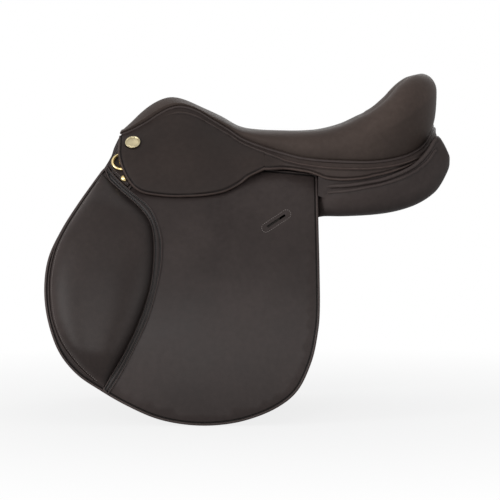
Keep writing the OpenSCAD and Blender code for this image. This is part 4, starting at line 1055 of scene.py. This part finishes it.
def panelAt(x, u, w):
    u, w = np.asarray(u, float)[..., None], np.asarray(w, float)[..., None]
    lo = np.array([along(panelInOut, x), along(panelInLow, x)])
    li = np.array([along(panelInOut, x) + panel["setIn"], along(panelTopIn, x)])
    bo = np.array([panelWall(x, panelLowZ, panelLowSpare), along(panelLowZ, x)])
    to = np.array([panelWall(x, panelTopZ, panelTopSpare), along(panelTopZ, x)])
    mid = (li + to) / 2
    swell = (layerOut(mid[1], panelSeatD) - mid[0]) * (1 - ease((x - panel["swellTo"]) / panel["swellRun"]))
    return mix(mix(lo, bo, u), mix(li, to, u), w) + np.array([1.0, 0.0]) * (swell * 4 * u * (1 - u) * w)


def panelRing(x):
    a = 2 * math.pi * (np.arange(panel["points"]) + 0.5) / panel["points"]
    u = np.sign(np.cos(a)) * np.abs(np.cos(a)) ** panel["square"]
    w = np.sign(np.sin(a)) * np.abs(np.sin(a)) ** panel["square"]
    middle = panelAt(x, 0.5, 0.5)
    p = mix(middle, panelAt(x, (u + 1) / 2, (w + 1) / 2), panelEnd(x))
    out = p[:, 0] if x > panel["freeX"] else np.minimum(p[:, 0], layerOut(p[:, 1], panelSeatD))
    return np.stack([np.full(len(a), x), -out, p[:, 1]], 1)


noseShares = np.array([0.01, 0.04, 0.09, 0.16, 0.26, 0.4, 0.58, 0.78])
tipShares = np.array([0.9, 0.78, 0.66, 0.54, 0.42, 0.31, 0.22, 0.14, 0.08, 0.04, 0.01])
panelX = np.concatenate([panel["noseX"] + panel["nose"] * noseShares, np.arange(-175, 100, 8.0),
                         np.arange(100, 276, 5.0), panel["tipX"] - panel["tip"] * tipShares])
# Two rolls along the panel's outer edge: the piping, and the seam of its side strip
panelPiping = {"radius": 2.9, "shoulder": 0.915, "out": 0.6, "sunk": 0.6, "lean": (0.75, 0.66), "from": 124.0,
               "to": 286.0}
panelSeam = {"radius": 2.1, "from": 126.0, "to": 284.0, "crease": (0.6, 0, 4.0),
             "below": [(117, 9.5), (128, 9), (165, 7.4), (199, 6.8), (233, 8), (257, 9.5), (273, 13),
                       (284, 15)]}


def panelPipingPoint(x):
    share = panelPiping["shoulder"]
    p = mix(panelAt(x, 0.5, 0.5), panelAt(x, share, share), panelEnd(x))
    n = np.array(panelPiping["lean"]) * (panelPiping["radius"] * panelPiping["sunk"] + panelPiping["out"])
    return np.array([x, -p[0] - n[0], p[1] + n[1]])


def panelSeamPoint(x):
    ring = panelRing(x)
    outer = ring[ring[:, 1] < np.median(ring[:, 1])]
    outer = outer[np.argsort(outer[:, 2])]
    z = panelPipingPoint(x)[2] - along(panelSeam["below"], x)
    return np.array([x, np.interp(z, outer[:, 2], outer[:, 1]), z])


def panelShade(x):  # painted light and shade: lighter up the wall, painted shade underneath and in the creases beside the rolls
    ring = panelRing(x)
    low, high = ring[:, 2].min(), ring[:, 2].max()
    pale, dark, share = panel["soilAndShade"]
    soilAndShade = pale - dark * (1 - ease((ring[:, 2] - low) / (share * (high - low))))
    if not panelSeam["from"] <= x <= panelPiping["to"]:
        return soilAndShade
    near = np.minimum(*(np.linalg.norm(ring - p, axis=1) for p in (panelPipingPoint(x), panelSeamPoint(x))))
    return soilAndShade - hump(near, *panelSeam["crease"])


for name, side in sides.items():
    verts, faces = loft([sided(panelRing(x), side) for x in panelX])
    piece = makePiece(f"panel_cushion_{name}", verts, faces, panelLeather, merge=0,
                      tone=np.concatenate([panelShade(x) for x in panelX]))
    settle(piece, "saddle", f"panel_{name}", slot="lining_leather", fill=0.75)

panelRolls = {"panel_piping": (panelPiping, panelPipingPoint), "panel_seam": (panelSeam, panelSeamPoint)}
for label, (roll, point) in panelRolls.items():
    run = np.array([point(x) for x in np.arange(roll["from"], roll["to"], 2.5)])
    for name, side in sides.items():
        piece = pipe(f"{label}_{name}", sided(run, side), roll["radius"])
        settle(piece, "saddle", *([f"panel_welt_{name}"] if label == "panel_piping" else []))
print("panels made")

# The padded facing of the front arch, the facing behind the cantle and the gullet lining
facing = {"wide": 12.0, "points": 20, "square": 0.6, "rings": 81}
facingLow = [(0, 112.5), (29.5, 111), (45.5, 104.2), (56.5, 97.9), (66.4, 86.4), (75.8, 73.4), (83.3, 62.4)]
facingHigh = [(0, 122.6), (31, 122.3), (52.5, 119.5), (63.5, 105), (73.6, 91.6), (83.2, 78.6), (90.7, 67.6)]
facingX = [(-179.5, 0), (-180, 0), (-182, 0), (-188, 0), (-192, 0), (-199, 0), (-206, 0)]


def facingRing(q):
    low, high, x = (pathAt(line, abs(q))[0] for line in (facingLow, facingHigh, facingX))
    angle = np.linspace(0, 2 * math.pi, facing["points"], endpoint=False)
    c, s = (np.sign(v) * np.abs(v) ** facing["square"] for v in (np.cos(angle), np.sin(angle)))
    p = mix(low, high, ((s + 1) / 2)[:, None])
    return np.stack([x[0] + facing["wide"] * (c + 1) / 2, (1 if q < 0 else -1) * p[:, 0], p[:, 1]], 1)


verts, faces = loft([facingRing(q) for q in np.linspace(-1, 1, facing["rings"])])
settle(makePiece("arch_facing", verts, faces, flapLeather, merge=0), "saddle", "front_facing", fill=0.5)

# The facing behind the cantle runs on inside the skirt as far as the flaps
cantleFacing = {"from": 111.0, "thick": 3.0, "above": 1.5, "drop": 30.0, "lean": 3.0, "within": 3.4,
                "rings": 80, "rows": 8}
rings = []
for s in np.linspace(cantleFacing["from"], tail, cantleFacing["rings"]):
    k = np.linspace(0, 1, cantleFacing["rows"])
    r = float(skirtFoot(s)[0]) - cantleFacing["within"] - cantleFacing["lean"] * k
    z = float(along(skirtEdge, s)) + cantleFacing["above"] - cantleFacing["drop"] * k
    rings.append(np.concatenate([place(s, r, z), place(s, r - cantleFacing["thick"], z)[::-1]]))
verts, faces = loft(roundBack(rings))
settle(sharpen(makePiece("cantle_facing", verts, faces, flapLeather, merge=0), 50), "saddle", "rear_facing")

lining = {"half": 34.0, "thick": 2.0, "plateX": -157.0, "rearX": 250.0, "above": 4.0, "sag": 5.0, "rings": 60,
          "points": 17}
rings = []
for x in np.linspace(lining["plateX"], lining["rearX"], lining["rings"]):
    y = np.linspace(-lining["half"], lining["half"], lining["points"])
    z = along(panelTopIn, x) + lining["above"] - lining["sag"] * (np.abs(y) / lining["half"]) ** 2
    topRow = np.stack([np.full(len(y), x), y, z], 1)
    lowRow = topRow - np.array([0, 0, lining["thick"]])
    rings.append(np.concatenate([topRow, lowRow[::-1]]))
verts, faces = loft(rings)
piece = sharpen(makePiece("gullet_leather", verts, faces, liningLeather, merge=0), 50)
settle(piece, "saddle", "gullet_lining", slot="lining_leather")
print("facings made")

# Sweat flaps, guards, straps and point covers
sweatTop = 32.0
sweatPoints = [
    (95, sweatTop), (96, -60), (93, -140), (80, -205), (46, -240), (-10, -258), (-80, -264), (-140, -256),
    (-195, -228), (-236, -190), (-254, -140), (-258, -90), (-248, -45), (-228, -5), (-198, sweatTop)]
sweatOutline = np.concatenate([evenly(pathThrough(sweatPoints, 8), 5.0),
                               evenly([(-193, sweatTop), (90, sweatTop)], 8.0)])
guardOutline = roundCorners([
    (-92, -75), (62, -75), (66, -110), (50, -150), (20, -165), (-50, -165), (-84, -148), (-96, -110)])
coverOutline = evenly([
    (-182, 110), (-187, 98), (-193, 87), (-196.5, 79.5), *((x + 0.2, z + 1) for x, z in tapeOuter[1:3]),
    (-165.8, 46.4), (-161, 51.8), (-148, 51.8), (-148, 90), (-160, 108), (-182, 110)], 3.0)[:-1]
straps = {"front": -72.0, "middle": -6.0, "rear": 38.0}
strap = {"wide": 28.0, "top": 32.0, "end": -226.0, "hole": 5.5, "pitch": 25.0, "firstHole": -58.0, "holes": 7,
         "headZ": -14.0, "headIn": 0.4, "headDrop": 0.3, "headGap": 0.05, "tipSteps": 18}
# the beads' third values paint a highlight on the bead and shade in its groove; the rim values below paint
# the cut edges lighter as a highlight
innerBead = ((2.2, 0.2, 0.2), (3.4, -0.4, -0.4), (4.6, 0.0, 0.0))
flatFace = ((2.0, 0.0, 0.0),)
coverD, coverT = -1.0, 3.0
sewnIn = {"guard": 4.0, "sweat": 5.6, "cover": 3.4, "strap": 3.0}


def circle(x, z, d, steps=20):
    a = np.linspace(0, 2 * math.pi, steps, endpoint=False)
    return np.stack([x + d / 2 * np.cos(a), z + d / 2 * np.sin(a) * 0.95], 1)


def strapSheets(x):  # the strap with its holes, and its head sewn to the web
    half, top = strap["wide"] / 2, strap["top"]
    tip = [(x + half * math.cos(a), strap["end"] + half * (1 + math.sin(a)))
           for a in np.linspace(0, -math.pi, strap["tipSteps"])]
    outline = evenly([(x - half, top), (x + half, top)] + tip + [(x - half, top)], 4.0)[:-1]
    holes = [circle(x, strap["firstHole"] - strap["pitch"] * k, strap["hole"]) for k in range(strap["holes"])]
    sheet = leatherSheet(outline, strapD, strapD - strapT, edge=1.0, face=flatFace, rim=0.25, holes=holes,
                         step=7.0)
    west, east = x - half + strap["headIn"], x + half - strap["headIn"]
    south, north = strap["headZ"], top - strap["headDrop"]
    head = evenly([(west, south), (east, south), (east, north), (west, north), (west, south)], 4.0)[:-1]
    return outline, sheet, leatherSheet(head, treeD, strapD - strap["headGap"], edge=0.3, step=7.0)


for name, side in sides.items():
    piece = sheetPiece(f"sweat_flap_leather_{name}", sweatOutline, sweatD, sweatD - sweatT, side, flapLeather,
                       edge=1.1, face=innerBead)
    settle(piece, "saddle", f"sweat_flap_{name}")
    piece = sheetPiece(f"girth_guard_leather_{name}", guardOutline, guardD, guardD - guardT, side,
                       strapLeather, edge=0.8, face=((2.2, 0.0, 0.0),), rim=0.2, step=9.0)
    settle(piece, f"girth_guard_{name}", f"girth_guard_{name}", slot="strap_leather")
    sewOutline(f"girth_guard_{name}", guardOutline, sewnIn["guard"], guardD, side)
    sewOutline("saddle", sweatOutline, sewnIn["sweat"], sweatD, side)
    piece = sheetPiece(f"point_cover_leather_{name}", coverOutline, coverD, coverD - coverT, side,
                       flapLeather, edge=0.9, face=flatFace, rim=0.2, step=8.0)
    settle(piece, "saddle", f"point_cover_{name}")
    sewOutline("saddle", coverOutline, sewnIn["cover"], coverD, side)
    for label, x in straps.items():
        body = f"girth_strap_{label}_{name}"
        outline, (verts, faces, tones), (headVerts, headFaces, headTones) = strapSheets(x)
        faces = faces + [tuple(i + len(verts) for i in f) for f in headFaces]
        verts = sided(np.concatenate([verts, headVerts]), side)
        piece = makePiece(f"girth_strap_leather_{label}_{name}", verts, faces, strapLeather, merge=0.02,
                          tone=np.concatenate([tones, headTones]))
        settle(piece, body, body, slot="strap_leather")
        sewOutline(body, outline, sewnIn["strap"], strapD, side)
print("straps made")


# CAD pieces that stay
def pair(*stems):
    return [f"{stem}_{name}" for stem in stems for name in sides]


stay = (
    (beech, ["tree_head", "tree_cantle", *pair("tree_side", "tree_rail")]),
    (steel, ["gullet_plate", "catch_pins", "bar_rivets", *pair("stirrup_bar", "stirrup_catch")]),
    (springSteel, pair("tree_spring")), (webbing, ["seat_strainers"]), (girthWebbing, pair("girth_webs")),
    (brass, ["dee_screws", *pair("dee_ring", "dee_clip")]),
)
for finish, names in stay:
    for name in names:
        nodes[name].data.materials.clear()
        nodes[name].data.materials.append(finish)

# Stitches, one mesh for each body and thread
for (body, dark), rows in stitchRows.items():
    label = "tape_stitches" if dark else "stitches"
    piece = grow(f"{label}_{body}", stitchNodes, stitchInputs, rows, {
        "Pitch": stitchLook["pitch"] * mm, "Slant": stitchLook["slant"],
        "Thread": darkThread if dark else thread,
        "Size": [stitchLook[k] / 2 * mm for k in ("length", "width", "height")]})
    settle(piece, body)
print("stitches made")


# Floor, light and camera: the background is white to the camera, and the floor keeps a soft shadow
def backgroundRays(tree):
    path = newNode(tree, "ShaderNodeLightPath")
    seen = path.outputs["Is Camera Ray"]
    for ray in ("Is Glossy Ray", "Is Transmission Ray"):
        seen = newNode(tree, "ShaderNodeMath", {0: seen, 1: path.outputs[ray]}, operation="MAXIMUM")
    return seen


studio = {"floor": 30.0, "gap": 0.001, "grey": 0.52, "fade": (0.25, 1.1, 0.8, 1.0),
          "sky": (0.95, 0.97, 1.0, 1), "skyStrength": 0.36}
floorZ = min(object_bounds()[0][2], cadBounds[0][2]) - studio["gap"]
floorHalf = studio["floor"] / 2
floorMesh = bpy.data.meshes.new("floor")
floorCorners = [(x * floorHalf, y * floorHalf, floorZ) for x, y in ((-1, -1), (1, -1), (1, 1), (-1, 1))]
floorMesh.from_pydata(floorCorners, [], [(0, 1, 2, 3)])
floor = bpy.data.objects.new("floor", floorMesh)
bpy.context.scene.collection.objects.link(floor)
floorMat = bpy.data.materials.new("paleFloor")
floorMat.use_nodes = True
tree = floorMat.node_tree
tree.nodes.remove(tree.nodes["Principled BSDF"])
matte = newNode(tree, "ShaderNodeBsdfDiffuse", {"Color": (studio["grey"], studio["grey"], studio["grey"], 1)})
glow = newNode(tree, "ShaderNodeEmission", {"Color": (1, 1, 1, 1), "Strength": 1.0})
coords = newNode(tree, "ShaderNodeTexCoord").outputs["Object"]
away = newNode(tree, "ShaderNodeVectorMath", {0: coords}, operation="LENGTH").outputs["Value"]
fade = newNode(tree, "ShaderNodeMapRange", {
    "Value": away, **dict(zip(("From Min", "From Max", "To Min", "To Max"), studio["fade"]))})
seenShare = newNode(tree, "ShaderNodeMath", {0: backgroundRays(tree), 1: fade}, operation="MULTIPLY")
floorMix = newNode(tree, "ShaderNodeMixShader", {"Fac": seenShare, 1: matte, 2: glow})
feed(tree, tree.nodes["Material Output"].inputs["Surface"], floorMix)
floorMesh.materials.append(floorMat)

world = bpy.data.worlds.new("studio")
bpy.context.scene.world = world
world.use_nodes = True
tree = world.node_tree
soft = tree.nodes["Background"]
feed(tree, soft.inputs["Color"], studio["sky"])
feed(tree, soft.inputs["Strength"], studio["skyStrength"])
white = newNode(tree, "ShaderNodeBackground", {"Color": (1, 1, 1, 1), "Strength": 1.0})
skyMix = newNode(tree, "ShaderNodeMixShader", {"Fac": backgroundRays(tree), 1: soft, 2: white})
feed(tree, tree.nodes["World Output"].inputs["Surface"], skyMix)

lamps = {
    "key": {"at": (-2.5, -2.1, 0.95), "size": 1.3, "power": 62.0},
    "top": {"at": (0.4, -0.5, 2.4), "size": 1.8, "power": 6.0},
    "front": {"at": (-0.45, -3.0, 0.95), "size": 0.9, "power": 27.0},
    "fill": {"at": (1.9, -1.9, 0.6), "size": 1.6, "power": 15.0},
    "back": {"at": (0.6, 2.2, 1.4), "size": 1.8, "power": 24.0},
}
for name, lamp in lamps.items():
    data = bpy.data.lights.new(name, "AREA")
    data.shape = "DISK"
    data.size, data.energy = lamp["size"], lamp["power"]
    light = bpy.data.objects.new(name, data)
    light.location = lamp["at"]
    light.rotation_euler = (Vector((0, 0, 0)) - Vector(lamp["at"])).to_track_quat("-Z", "Y").to_euler()
    bpy.context.scene.collection.objects.link(light)

view = {"target": (0.012, 0.0, -0.052), "distance": 4.0, "elevation": 3.0, "lens": 192.0}
camData = bpy.data.cameras.new("camera")
camData.lens, camData.sensor_width = view["lens"], 36.0
camera = bpy.data.objects.new("camera", camData)
up = math.radians(view["elevation"])
camera.location = Vector(view["target"]) + view["distance"] * Vector((0, -math.cos(up), math.sin(up)))
camera.rotation_euler = (Vector(view["target"]) - camera.location).to_track_quat("-Z", "Y").to_euler()
bpy.context.scene.collection.objects.link(camera)
bpy.context.scene.camera = camera
bpy.context.scene.view_settings.view_transform = "Standard"
